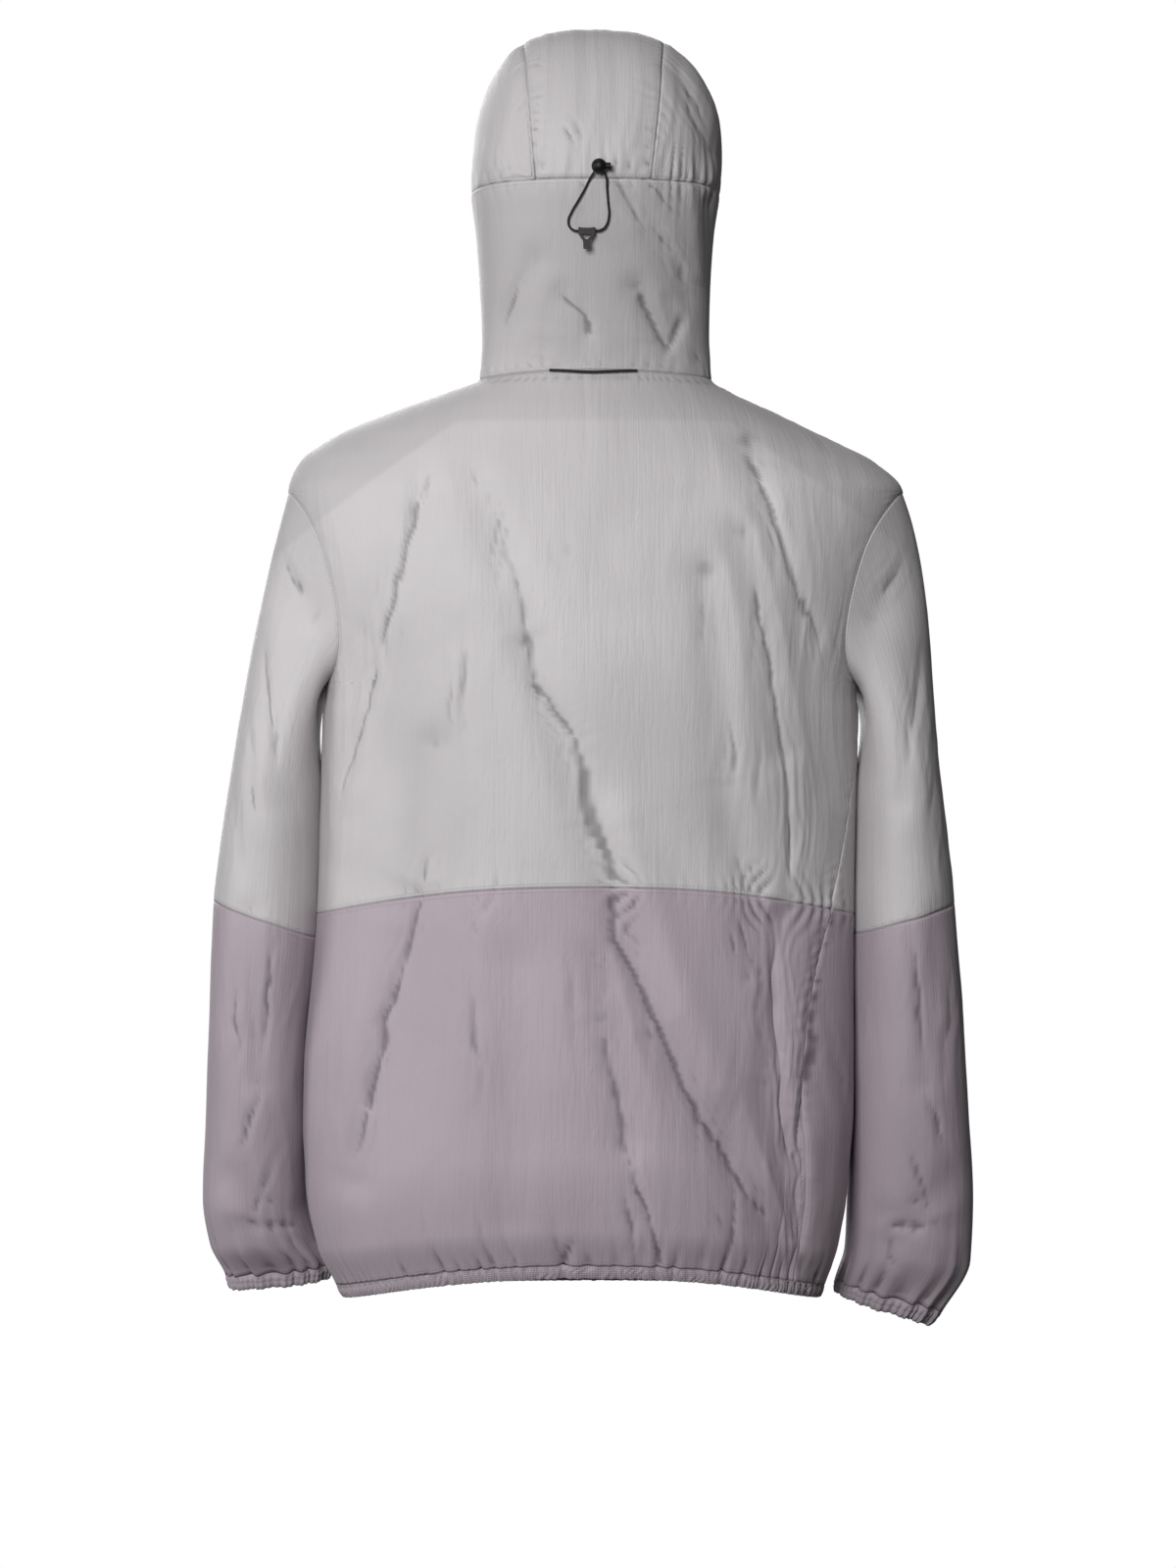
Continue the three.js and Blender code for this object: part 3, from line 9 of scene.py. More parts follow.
import logging
import math
import sys
from collections.abc import Callable, Sequence
from dataclasses import dataclass, field
from enum import Enum, IntEnum

import bmesh
import bpy
import numpy as np
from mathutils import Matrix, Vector

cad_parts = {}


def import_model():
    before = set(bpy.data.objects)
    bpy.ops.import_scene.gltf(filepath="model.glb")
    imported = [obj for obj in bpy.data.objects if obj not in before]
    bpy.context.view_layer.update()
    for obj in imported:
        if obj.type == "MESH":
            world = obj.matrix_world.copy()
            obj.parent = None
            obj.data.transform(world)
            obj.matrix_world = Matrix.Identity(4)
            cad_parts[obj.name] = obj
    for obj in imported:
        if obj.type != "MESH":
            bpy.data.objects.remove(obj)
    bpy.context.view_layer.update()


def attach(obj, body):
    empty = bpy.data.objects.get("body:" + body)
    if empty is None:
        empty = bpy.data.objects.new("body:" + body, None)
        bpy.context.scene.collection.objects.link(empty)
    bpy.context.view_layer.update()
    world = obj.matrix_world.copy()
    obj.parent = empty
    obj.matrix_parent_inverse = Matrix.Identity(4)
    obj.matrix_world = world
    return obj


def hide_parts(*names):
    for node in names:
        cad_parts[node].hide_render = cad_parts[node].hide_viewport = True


LOG = logging.getLogger("windbreaker")
MM = 0.001
BODY = "jacket"
CLOTH_THICKNESS = 0.5
BAND_THICKNESS = 1.1
NARROWEST_CUT = 0.0102
BROAD_FOLDS = 0.6
RIPPLE_PITCH, RIPPLE_DEPTH = 6.4, 0.5
CREASE_DEPTH = 0.4
SIDE_SWELL = 2.4
# Cavity map for the painted shade in creases: reach in rows, and the sink in millimetres where the shade
# starts and where it is full
HOLLOW_REACH, HOLLOW_LEAST, HOLLOW_FULL = 2, 0.2, 0.6

# Levels of the seams round the body, and of the rows that shape the armhole
HEM_BOTTOM, HEM_TOP, COLOUR_SEAM, ARMPIT, ARMHOLE_TOP = -734.0, -724.0, -431.0, -250.0, -97.0
NECK_SEAM, CHIN, CHANNEL = -7.0, 62.0, 139.0
ARMHOLE_ROWS = (ARMPIT, -245.0, -234.0, -218.0, -197.0, -173.0, -149.0, -128.0, -112.0, -101.0, ARMHOLE_TOP)
SLEEVE_TOP, SLEEVE_SEAM = -330.0, -435.0
TAPE_HALF = 9.0
FRONT_EDGE = TAPE_HALF - 1.6

# Gathers and ribs in a whole turn of the hem and of a cuff
HEM_GATHERS, HEM_FLUTES, HEM_RIBS = 78, 118, 236
CUFF_GATHERS, CUFF_RIBS = 15, 52

# Degrees over which a panel's columns turn to its edge, the floor's level in metres, the part's cloth
TURNING = 50.0
FLOOR_LEVEL = -1.5
WALL = 1.2

SECTION_COLUMNS = ("level", "left", "right", "back", "front", "square", "drop", "lift")
SECTIONS = (
    (-734, 198, 180, 106, 102, 2.3, 0, 24),
    (-724, 203, 183, 110, 106, 2.3, 0, 24),
    (-696, 218, 193, 122, 116, 2.4, 0, 24),
    (-640, 228, 202, 129, 122, 2.4, 0, 24),
    (-560, 227, 204, 128, 124, 2.4, 0, 24),
    (-431, 217, 205, 122, 124, 2.4, 0, 23),
    (-330, 214, 207, 124, 126, 2.4, 0, 14),
    (-250, 212, 209, 127, 127, 2.5, 0, 6),
    (-190, 223, 222, 125, 124, 2.5, 2, 1),
    (-146, 234, 234, 119, 119, 2.5, 6, 0),
    (-97, 242, 246, 107, 111, 2.4, 14, 0),
    (-74, 234, 225, 100, 105, 2.1, 22, 0),
    (-55, 210, 189, 93, 98, 1.9, 32, 0),
    (-35, 165, 148, 84, 90, 1.8, 42, 0),
    (-16, 112, 107, 68, 78, 1.9, 51, 1),
    (-7, 90, 94, 60, 73, 2.0, 55, 3),
    (25, 88, 92, 70, 80, 2.1, 49, 3),
    (70, 90, 93, 88, 92, 2.3, 39, 2),
    (110, 93, 96, 103, 101, 2.5, 22, 1),
    (139, 96, 100, 111, 105, 2.6, 9, 0),
    (155, 96, 101, 113, 106, 2.6, 5, 0),
)
SIDE_SEAM_COLUMNS = ("level", "left", "right")
SIDE_SEAMS = ((-734, -8, 33), (-560, -12, 40), (-431, -14, 28), (-330, -9, 14), (-250, 0, 0))
FACE_COLUMNS = ("level", "half")
FACE_OPENING = ((62, 6), (64, 15), (70, 28), (79, 40), (92, 50), (108, 57), (124, 61), (139, 64))
FACE_BINDING = 5.0
ARMHOLE_SPREAD = 29.0
ARMHOLE_ROUNDNESS = 2.6

SLEEVE_COLUMNS = ("level", "lateral", "medial", "forward", "depth", "tilt")
LEFT_SLEEVE = (
    (-330, 288, 217.5, 2, 70, 4),
    (-435, 301, 220.5, 4, 70, 15),
    (-530, 306, 229.5, 12, 67, 6),
    (-600, 309, 231.5, 20, 66, 2),
    (-660, 312, 230, 28, 64, 0),
    (-695, 306, 222, 34, 56, -2),
    (-718, 293, 212, 38, 38, -4),
    (-729, 290, 214, 39, 34, -4),
)
RIGHT_SLEEVE = (
    (-330, 276, 210.5, 2, 70, 4),
    (-435, 287, 208.5, 4, 70, 12),
    (-530, 295, 208, 12, 67, 5),
    (-600, 300, 207, 20, 66, 2),
    (-660, 304, 204.5, 28, 64, 0),
    (-705, 302, 203, 34, 57, -5),
    (-738, 279, 197, 38, 38, -12),
    (-749, 270, 196, 40, 34, -13),
)
SLEEVE_SQUARE = 2.3
SLEEVE_FLARE = {1: 0.27, -1: 0.34}

# Folds as seen from behind or in front: x and z of one end, x and z of the other, width, depth
BACK_FOLDS = (
    (130, -100, 178, -210, 15, 6),
    (178, -210, 208, -385, 15, 7),
    (150, -130, 190, -330, 18, -5),
    (90, -95, 50, -220, 16, 5),
    (50, -220, 2, -360, 16, 8),
    (2, -360, -52, -520, 17, 9),
    (-52, -520, -158, -700, 18, 10),
    (-20, -360, -95, -560, 20, -6),
    (-118, -62, -160, -195, 15, 6),
    (-160, -195, -186, -330, 16, 5),
    (-116, -135, -148, -300, 15, 6),
    (-88, -165, -102, -330, 15, 6),
    (-102, -330, -132, -470, 16, 7),
    (124, -300, 137, -415, 14, 6),
    (137, -415, 187, -633, 17, 9),
    (160, -440, 200, -620, 18, -5),
    (-143, -434, -137, -560, 14, 8),
    (-137, -560, -162, -690, 15, 9),
    (-186, -450, -166, -590, 12, 5),
    (-10, -460, -24, -600, 18, 5),
    (60, -470, 62, -660, 22, 4),
)
FRONT_FOLDS = (
    (-130, -110, -168, -300, 17, 6),
    (122, -120, 160, -290, 17, 6),
    (-60, -150, -96, -400, 19, 6),
    (70, -170, 104, -420, 19, 6),
    (-96, -400, -150, -650, 19, 8),
    (104, -420, 70, -660, 19, 7),
    (160, -380, 184, -640, 17, 7),
    (-40, -440, -52, -680, 17, 5),
)
HOOD_FOLDS = (
    (-34, 58, -55, 22, 10, 5),
    (-62, 50, -60, 24, 9, 3),
    (-46, 98, -74, 55, 11, 4),
    (-20, 132, -50, 104, 9, 3),
    (46, 78, 80, 14, 12, 4),
    (24, 52, 4, 22, 10, 3),
    (-60, 232, -92, 168, 10, 4),
    (78, 236, 88, 180, 12, 3),
    (-77, 134, -84, 74, 7, -4),
    (-91, 128, -97, 60, 6, 7),
)
SLEEVE_FOLDS = (
    (262, -150, 222, -196, 13, 3),
    (258, -230, 240, -340, 14, 4),
    (272, -430, 262, -560, 12, 4),
    (284, -640, 236, -690, 15, 4),
    (228, -668, 282, -678, 12, 3),
)
# Sharp creases over the main folds, in the same view and columns
BACK_CREASES = (
    (125, -76, 146, -150, 2.6, 2.6),
    (146, -150, 158, -200, 2.6, 2.8),
    (158, -200, 174, -266, 2.8, 3.0),
    (174, -266, 196, -340, 2.8, 3.0),
    (196, -340, 214, -402, 2.8, 2.6),
    (89, -55, 77, -121, 2.6, 1.1),
    (77, -121, 60, -174, 2.6, 1.3),
    (60, -174, 44, -254, 2.6, 1.9),
    (44, -254, 17, -288, 2.6, 2.5),
    (17, -288, 5, -331, 2.6, 2.6),
    (5, -331, -12, -390, 2.6, 2.6),
    (-12, -390, -17, -447, 2.6, 2.6),
    (-17, -447, -35, -486, 2.6, 3.4),
    (-35, -486, -65, -546, 2.6, 3.6),
    (-65, -546, -84, -586, 2.6, 3.6),
    (-84, -586, -119, -640, 2.6, 3.4),
    (-119, -640, -139, -668, 2.6, 2.6),
    (126, -374, 136, -415, 2.4, 2.4),
    (136, -415, 157, -489, 2.6, 3.0),
    (157, -489, 177, -579, 2.8, 3.2),
    (177, -579, 186, -633, 2.6, 2.6),
    (-117, -59, -142, -123, 2.4, 3.0),
    (-142, -123, -158, -170, 2.4, 3.2),
    (-158, -170, -185, -243, 2.4, 3.0),
    (-122, -168, -140, -243, 2.2, 2.8),
    (-140, -243, -151, -322, 2.4, 3.0),
    (-151, -322, -156, -424, 2.4, 3.2),
    (-103, -263, -112, -350, 2.2, 2.2),
    (-124, -268, -130, -360, 2.2, 2.2),
    (-142, -426, -146, -545, 2.6, 3.4),
    (-146, -545, -150, -590, 2.6, 3.6),
    (-150, -590, -163, -640, 2.6, 3.4),
    (-104, -429, -112, -474, 2.2, 2.2),
    (-184, -434, -176, -490, 2.2, 2.8),
    (-176, -490, -165, -555, 2.2, 3.0),
    (-165, -555, -161, -643, 2.2, 2.8),
    (70, -380, 96, -470, 2.2, 1.6),
    (30, -110, 24, -210, 2.4, 1.2),
    (-114, -378, -124, -430, 2.2, 2.2),
    (-87, -162, -85, -233, 2.4, 1.9),
    (104, -190, 96, -330, 2.4, 1.6),
    (20, -440, 8, -560, 2.4, 1.8),
    (96, -460, 84, -600, 2.6, 1.8),
    (0, -479, -9, -526, 2.4, 1.6),
    (-9, -526, -23, -591, 2.4, 2.0),
    (-23, -591, -33, -643, 2.4, 2.2),
    (-33, -643, -55, -712, 2.4, 2.6),
    (-23, -631, -33, -714, 2.2, 2.0),
    (13, -671, 26, -712, 2.2, 2.8),
    (-91, -643, -121, -714, 2.4, 2.0),
    (-112, -608, -140, -661, 2.2, 1.8),
    (-112, -421, -121, -463, 2.2, 2.4),
    (-121, -463, -117, -484, 2.2, 1.8),
    (-133, -456, -129, -503, 2.2, 2.0),
    (-129, -503, -133, -537, 2.2, 1.8),
    (-161, -643, -164, -714, 2.4, 2.8),
    (-177, -468, -193, -561, 2.4, 2.6),
    (-193, -561, -198, -608, 2.4, 2.4),
    (-9, -432, -22, -470, 2.2, 1.8),
    (-26, -400, -30, -440, 2.2, 1.6),
)
FRONT_CREASES = (
    (-130, -120, -160, -260, 2.6, 2.4),
    (130, -120, 158, -260, 2.6, 2.4),
    (-60, -180, -90, -380, 2.6, 2.2),
    (74, -190, 100, -400, 2.6, 2.2),
    (-100, -420, -146, -640, 2.8, 2.8),
    (104, -440, 76, -640, 2.8, 2.6),
    (166, -400, 182, -620, 2.6, 2.4),
    (-44, -460, -52, -660, 2.6, 2.0),
    (-168, -440, -176, -600, 2.6, 2.0),
    (40, -430, 34, -560, 2.6, 1.8),
)
HOOD_CREASES = (
    (-36, 57, -46, 34, 2.0, 3.4),
    (-46, 34, -60, 15, 2.0, 3.2),
    (-71, 48, -60, 15, 2.2, 3.2),
    (-46, 106, -64, 80, 2.0, 2.4),
    (-64, 80, -72, 61, 2.0, 2.6),
    (-15, 150, -29, 122, 1.8, 2.4),
    (-29, 122, -43, 99, 1.8, 2.4),
    (-27, 148, -52, 132, 1.8, 2.2),
    (-52, 132, -68, 110, 1.8, 2.4),
    (-75, 20, -94, -6, 1.8, 2.8),
    (46, 83, 80, 17, 2.2, 2.2),
    (26, 53, 8, 36, 1.8, 2.4),
    (8, 36, 4, 18, 1.8, 2.8),
    (60, 20, 20, 16, 1.8, 1.2),
    (-20, 14, -70, 18, 1.8, 1.2),
    (-58, 243, -92, 178, 2.0, 3.0),
    (-62, 222, -94, 160, 2.0, 2.6),
    (80, 242, 82, 214, 2.0, 1.4),
    (62, 190, 47, 200, 1.8, 1.2),
    (24, 188, 12, 164, 1.6, 2.0),
    (18, 196, 6, 168, 1.6, 2.2),
    (-30, 182, -58, 170, 1.8, 1.2),
)
SLEEVE_CREASES = (
    (250, -136, 222, -190, 2.4, 2.8),
    (262, -200, 244, -330, 2.4, 2.6),
    (274, -240, 262, -380, 2.4, 2.6),
    (280, -300, 276, -420, 2.2, 1.6),
    (246, -430, 262, -560, 2.4, 2.5),
    (284, -440, 276, -600, 2.4, 2.4),
    (254, -560, 290, -640, 2.4, 2.2),
    (240, -600, 280, -690, 2.4, 2.2),
    (281, -668, 257, -679, 2.2, 2.4),
    (257, -679, 224, -680, 2.2, 2.4),
    (230, -698, 247, -718, 2.0, 2.2),
    (268, -650, 240, -664, 2.0, 1.8),
)

CROWN_COLUMNS = ("left", "right", "back", "front", "height", "square", "roundness", "bulge")
CROWN = dict(zip(CROWN_COLUMNS, (96.0, 100.0, 111.0, 105.0, 131.0, 2.75, 2.2, 0.045)))
MIDDLE_PANEL_LOW, MIDDLE_PANEL_HIGH = 45.0, 55.0
FOREHEAD, FOREHEAD_BINDING, CHEEK_BINDING = 140.0, 4.5, 8.0

SIDES = ((1, "left"), (-1, "right"))

Field = np.ndarray
Curve = Callable[[np.ndarray], np.ndarray]
Lines = Sequence[Sequence[float]]
Colour = tuple[float, float, float]


class Seed(IntEnum):
    """Picks the noise of each kind of wrinkle, gather or pucker."""

    WANDER_ACROSS = 5
    WANDER_UP = 6
    KINKS = 7
    BREAKS = 8
    RIPPLES = 9
    HEM_SPACING = 21
    HEM_DEPTHS = 22
    HEM_FLUTES = 23
    HEM_SLANT = 24
    CHANNEL_SPACING = 31
    CHANNEL_SLANT = 33
    CLOTH = 40
    SLEEVE = 50
    SIDE_SEAM = 61
    COLOUR_SEAM = 63
    NECK_SEAM = 64
    COLLAR = 65
    CHANNEL = 66
    CROWN_SEAM = 67
    HEM_RIBS = 71
    CUFF_SPACING = 81
    CUFF_REACH = 83


class Layer(Enum):
    """The list of folds that a place on the cloth takes."""

    BACK = "back"
    FRONT = "front"
    HOOD = "hood"
    SLEEVE = "sleeve"


FOLDS = {Layer.BACK: BACK_FOLDS, Layer.FRONT: FRONT_FOLDS, Layer.HOOD: HOOD_FOLDS, Layer.SLEEVE: SLEEVE_FOLDS}
CREASES = {
    Layer.BACK: BACK_CREASES,
    Layer.FRONT: FRONT_CREASES,
    Layer.HOOD: HOOD_CREASES,
    Layer.SLEEVE: SLEEVE_CREASES,
}


def free_ends(lines: Lines) -> list[tuple[bool, bool]]:
    """Says for each line whether its first and its last end meet no other line."""
    ends = [tuple(end) for line in lines for end in (line[:2], line[2:4])]
    return [(ends.count(line[:2]) == 1, ends.count(line[2:4]) == 1) for line in lines]


FREE_ENDS = {layer: free_ends(lines) for layer, lines in CREASES.items()}


def smooth_column(x: Sequence[float], y: Sequence[float]) -> Curve:
    """Makes a smooth curve through the rows of a table that never overshoots them.

    Args:
        x: Levels, rising.
        y: The column's value at each level.

    Returns:
        A function that gives the column's value at any levels.
    """
    xs, ys = np.asarray(x, float), np.asarray(y, float)
    slope = np.diff(ys) / np.diff(xs)
    before, after = slope[:-1], slope[1:]
    product = before * after
    inner = np.where(product > 0, 2 * product / np.where(product > 0, before + after, 1), 0)
    tangent = np.concatenate([slope[:1], inner, slope[-1:]])

    def value(level: Field) -> Field:
        q = np.asarray(level, float)
        i = np.clip(np.searchsorted(xs, q, side="right") - 1, 0, len(xs) - 2)
        span = xs[i + 1] - xs[i]
        t = np.clip((q - xs[i]) / span, 0, 1)
        blend = t * t * (3 - 2 * t)
        inside = ys[i] * (1 - blend) + ys[i + 1] * blend
        inside = inside + (tangent[i] * t * (1 - t) ** 2 + tangent[i + 1] * t * t * (t - 1)) * span
        below = tangent[0] * np.minimum(0, q - xs[0])
        above = tangent[-1] * np.maximum(0, q - xs[-1])
        return inside + below + above

    return value


def smooth_table(names: Sequence[str], rows: Lines) -> dict[str, Curve]:
    """Returns each column of a table but its level as a smooth curve, under the column's name."""
    data = np.array(sorted(rows), float)
    return {name: smooth_column(data[:, 0], data[:, k]) for k, name in enumerate(names) if k}


SECTION = smooth_table(SECTION_COLUMNS, SECTIONS)
SEAM = smooth_table(SIDE_SEAM_COLUMNS, SIDE_SEAMS)
FACE = smooth_table(FACE_COLUMNS, FACE_OPENING)["half"]
SLEEVES = {1: smooth_table(SLEEVE_COLUMNS, LEFT_SLEEVE), -1: smooth_table(SLEEVE_COLUMNS, RIGHT_SLEEVE)}


def signed_power(value: Field, power: Field | float) -> Field:
    """Returns a power that keeps the sign, for superellipse sections."""
    return np.sign(value) * np.abs(value) ** power


def stack(x: Field, y: Field, z: Field) -> Field:
    """Joins three coordinates into points."""
    return np.stack(np.broadcast_arrays(x, y, z), axis=-1)


def unit(v: Field) -> Field:
    """Scales vectors to a length of 1."""
    return v / np.maximum(1e-9, np.linalg.norm(v, axis=-1, keepdims=True))


def smoothstep(low: float, high: float, value: Field) -> Field:
    """Rises smoothly from 0 at low to 1 at high."""
    t = np.clip((value - low) / (high - low), 0, 1)
    return t * t * (3 - 2 * t)


def lattice_noise(u: Field, v: Field, seed: int) -> Field:
    """Smooth noise from -1 to 1 over a plane, the same in each run.

    Args:
        u: First coordinate, in cells.
        v: Second coordinate, in cells.
        seed: Picks the noise.

    Returns:
        One value for each place.
    """
    grid = np.random.default_rng(seed).uniform(-1, 1, (256, 256))
    iu, iv = np.floor(u).astype(int), np.floor(v).astype(int)
    fu, fv = u - iu, v - iv
    su, sv = fu * fu * (3 - 2 * fu), fv * fv * (3 - 2 * fv)
    low = grid[iu & 255, iv & 255] * (1 - su) + grid[(iu + 1) & 255, iv & 255] * su
    high = grid[iu & 255, (iv + 1) & 255] * (1 - su) + grid[(iu + 1) & 255, (iv + 1) & 255] * su
    return low * (1 - sv) + high * sv


def ridged_noise(u: Field, v: Field, seed: int) -> Field:
    """Noise with sharp crests at 1 and soft hollows, like crumpled nylon."""
    return 1 - 2 * np.abs(lattice_noise(u, v, seed))


def distance_along(fold: Sequence[float], x: Field, z: Field) -> tuple[Field, Field]:
    """Distance from each place to a fold's line, and its share of the way along it."""
    x0, z0, x1, z1 = fold[:4]
    run_x, run_z = x1 - x0, z1 - z0
    along = np.clip(((x - x0) * run_x + (z - z0) * run_z) / (run_x**2 + run_z**2), 0, 1)
    return np.hypot(x - x0 - along * run_x, z - z0 - along * run_z), along


def fold_depth(layer: Layer, x: Field, z: Field) -> tuple[Field, Field]:
    """How far folds and creases sink in, and how near a crease is, seen from behind or in front."""
    sunk, raised = np.zeros_like(x), np.zeros_like(x)
    for fold in FOLDS[layer]:
        depth = fold[5] * np.exp(-((distance_along(fold, x, z)[0] / fold[4]) ** 2))
        sunk, raised = np.maximum(sunk, depth), np.minimum(raised, depth)
    crease, nearest, reached = np.zeros_like(x), np.full_like(x, 1e3), np.zeros_like(x)
    wander_x = x + 3.0 * lattice_noise(x / 40, z / 30, Seed.WANDER_ACROSS)
    wander_x = wander_x + 1.6 * lattice_noise(x / 9, z / 16, Seed.KINKS)
    wander_z = z + 3.0 * lattice_noise(x / 30, z / 40, Seed.WANDER_UP)
    for line, (starts, stops) in zip(CREASES[layer], FREE_ENDS[layer]):
        away, along = distance_along(line, wander_x, wander_z)
        away = np.hypot(away, 0.8)
        taper = smoothstep(0, 0.5, along) if starts else np.ones_like(x)
        taper = taper * (smoothstep(1, 0.5, along) if stops else 1)
        crease = np.maximum(crease, taper * CREASE_DEPTH * line[5] ** 2 * np.exp(-away / (1.05 * line[4])))
        reached = np.where(away < nearest, taper, reached)
        nearest = np.minimum(nearest, away)
    broken = 1.1 + 0.5 * lattice_noise(x / 3.2, z / 26, Seed.BREAKS)
    shift = 0.5 * lattice_noise(x / 18, z / 34, Seed.RIPPLES)
    ripple = np.cos(2 * math.pi * (nearest / RIPPLE_PITCH + shift))
    ripple = RIPPLE_DEPTH * reached * ripple * np.exp(-nearest / 9) * (1 - np.exp(-nearest / 2.5))
    near = reached * np.exp(-((nearest / 17) ** 2))
    return BROAD_FOLDS * (sunk + raised) + crease * broken - ripple, near


def crumple(u: Field, v: Field, seed: int) -> Field:
    """Small wrinkles of thin nylon, mostly upright, in millimetres.

    Args:
        u: Run across the cloth, in millimetres.
        v: Run up the cloth, in millimetres.
        seed: Picks the noise.

    Returns:
        Height at each place.
    """
    bend = 14 * lattice_noise(u / 70, v / 90, seed)
    upright = ridged_noise((u + bend) / 14, v / 130, seed + 1)
    slanted = ridged_noise((u + 0.5 * v) / 34, (v - 0.3 * u) / 62, seed + 2)
    other = ridged_noise((u - 0.42 * v) / 30, (v + 0.3 * u) / 70, seed + 3)
    fine = ridged_noise((u + bend) / 6.5, v / 70, seed + 4)
    patch = 0.6 + 0.4 * lattice_noise(u / 120, v / 120, seed + 5)
    return patch * (0.85 * upright + 0.5 * slanted + 0.4 * other) + 0.34 * fine


# The body's form


def body_form(angle: Field, level: Field) -> Field:
    """Points of the body's form without its folds."""
    c, s = np.cos(np.radians(angle)), np.sin(np.radians(angle))
    power = 2 / SECTION["square"](level)
    reach_x = np.where(c >= 0, SECTION["left"](level), SECTION["right"](level))
    reach_y = np.where(s >= 0, SECTION["back"](level), SECTION["front"](level))
    low = SECTION["drop"](level) * np.maximum(0, -s) ** 1.3
    high = SECTION["lift"](level) * np.maximum(0, s) ** 2
    return stack(reach_x * signed_power(c, power), reach_y * signed_power(s, power), level - low + high)


# Steps of the table of girths in degrees and millimetres, and its column at the middle of the back
GIRTH_TURN, GIRTH_RISE, GIRTH_MIDDLE = 2, 10, 95
GIRTH_ANGLES = np.linspace(-100, 280, 191)
GIRTH_LEVELS = np.linspace(-740, 160, 91)


def measure_girth() -> Field:
    """Runs round each of the body's sections, level by level, from the middle of the back."""
    angle, level = np.meshgrid(GIRTH_ANGLES, GIRTH_LEVELS)
    p = body_form(angle, level)[..., :2]
    run = np.zeros(angle.shape)
    run[:, 1:] = np.cumsum(np.linalg.norm(np.diff(p, axis=1), axis=-1), axis=1)
    return run - run[:, GIRTH_MIDDLE : GIRTH_MIDDLE + 1]


GIRTH = measure_girth()


def girth(angle: Field, level: Field) -> Field:
    """Distance round the body from the middle of the back, in millimetres."""
    column = np.clip((angle - GIRTH_ANGLES[0]) / GIRTH_TURN, 0, len(GIRTH_ANGLES) - 1.01)
    row = np.clip((level - GIRTH_LEVELS[0]) / GIRTH_RISE, 0, len(GIRTH_LEVELS) - 1.01)
    i, j = row.astype(int), column.astype(int)
    up, on = row - i, column - j
    low = GIRTH[i, j] * (1 - on) + GIRTH[i, j + 1] * on
    high = GIRTH[i + 1, j] * (1 - on) + GIRTH[i + 1, j + 1] * on
    return low * (1 - up) + high * up


def facing(form: Callable[[Field, Field], Field], a: Field, b: Field, step: float = 1.5) -> Field:
    """Outward directions of a form, from its slopes."""
    across = form(a + step, b) - form(a - step, b)
    up = form(a, b + step) - form(a, b - step)
    return unit(np.cross(across, up))


def hem_gathers(angle: Field, level: Field) -> Field:
    """Height of the gathers above the elastic hem, each with its own depth, reach and slant."""
    turn = angle / 360
    above = np.maximum(0, level - HEM_TOP)
    phase = HEM_GATHERS * turn + 0.9 * lattice_noise(30 * turn, 0 * turn, Seed.HEM_SPACING)
    phase = phase + 0.006 * above * lattice_noise(17 * turn, 0 * turn + 3.5, Seed.HEM_SLANT)
    cell = np.rint(phase).astype(int) & 127
    draw = np.random.default_rng(Seed.HEM_DEPTHS).uniform(0, 1, (2, 128))
    depth, reach = 1.6 + 4.4 * draw[0][cell] ** 2, 7 + 34 * draw[1][cell] ** 2
    away = np.abs(phase - np.rint(phase))
    calm = 1 - 0.7 * smoothstep(120, 170, -girth(angle, level))
    crease = calm * depth * np.exp(-away / 0.16) * np.exp(-above / reach)
    flutes = HEM_FLUTES * turn + lattice_noise(60 * turn, level / 40, Seed.HEM_FLUTES)
    fine = np.cos(2 * math.pi * flutes)
    return np.exp(-above / 26) - crease + 0.5 * fine * np.exp(-above / 11)


def channel_gathers(x: Field, z: Field) -> Field:
    """Height of the small gathers at the hood's drawcord channel, strongest on the wearer's right."""
    strength = 0.45 + 0.5 * smoothstep(30, 0, x) + 1.7 * smoothstep(-48, -72, x) * smoothstep(-100, -94, x)
    slant = 0.25 * (z - CHANNEL) * lattice_noise(x / 30, z * 0, Seed.CHANNEL_SLANT)
    phase = (x + slant) / 10.5 + 1.1 * lattice_noise(x / 24, z / 60, Seed.CHANNEL_SPACING)
    fade = np.exp(-np.abs(z - CHANNEL) / np.where(z > CHANNEL, 17.0, 11.0))
    fade = fade * (1 - 0.8 * np.exp(-np.abs(z - CHANNEL) / 3))
    away = np.abs(phase - np.rint(phase))
    return strength * fade * (1.0 - 2.0 * np.exp(-away / 0.14) + 0.4 * np.cos(2 * math.pi * (x / 5.3)))


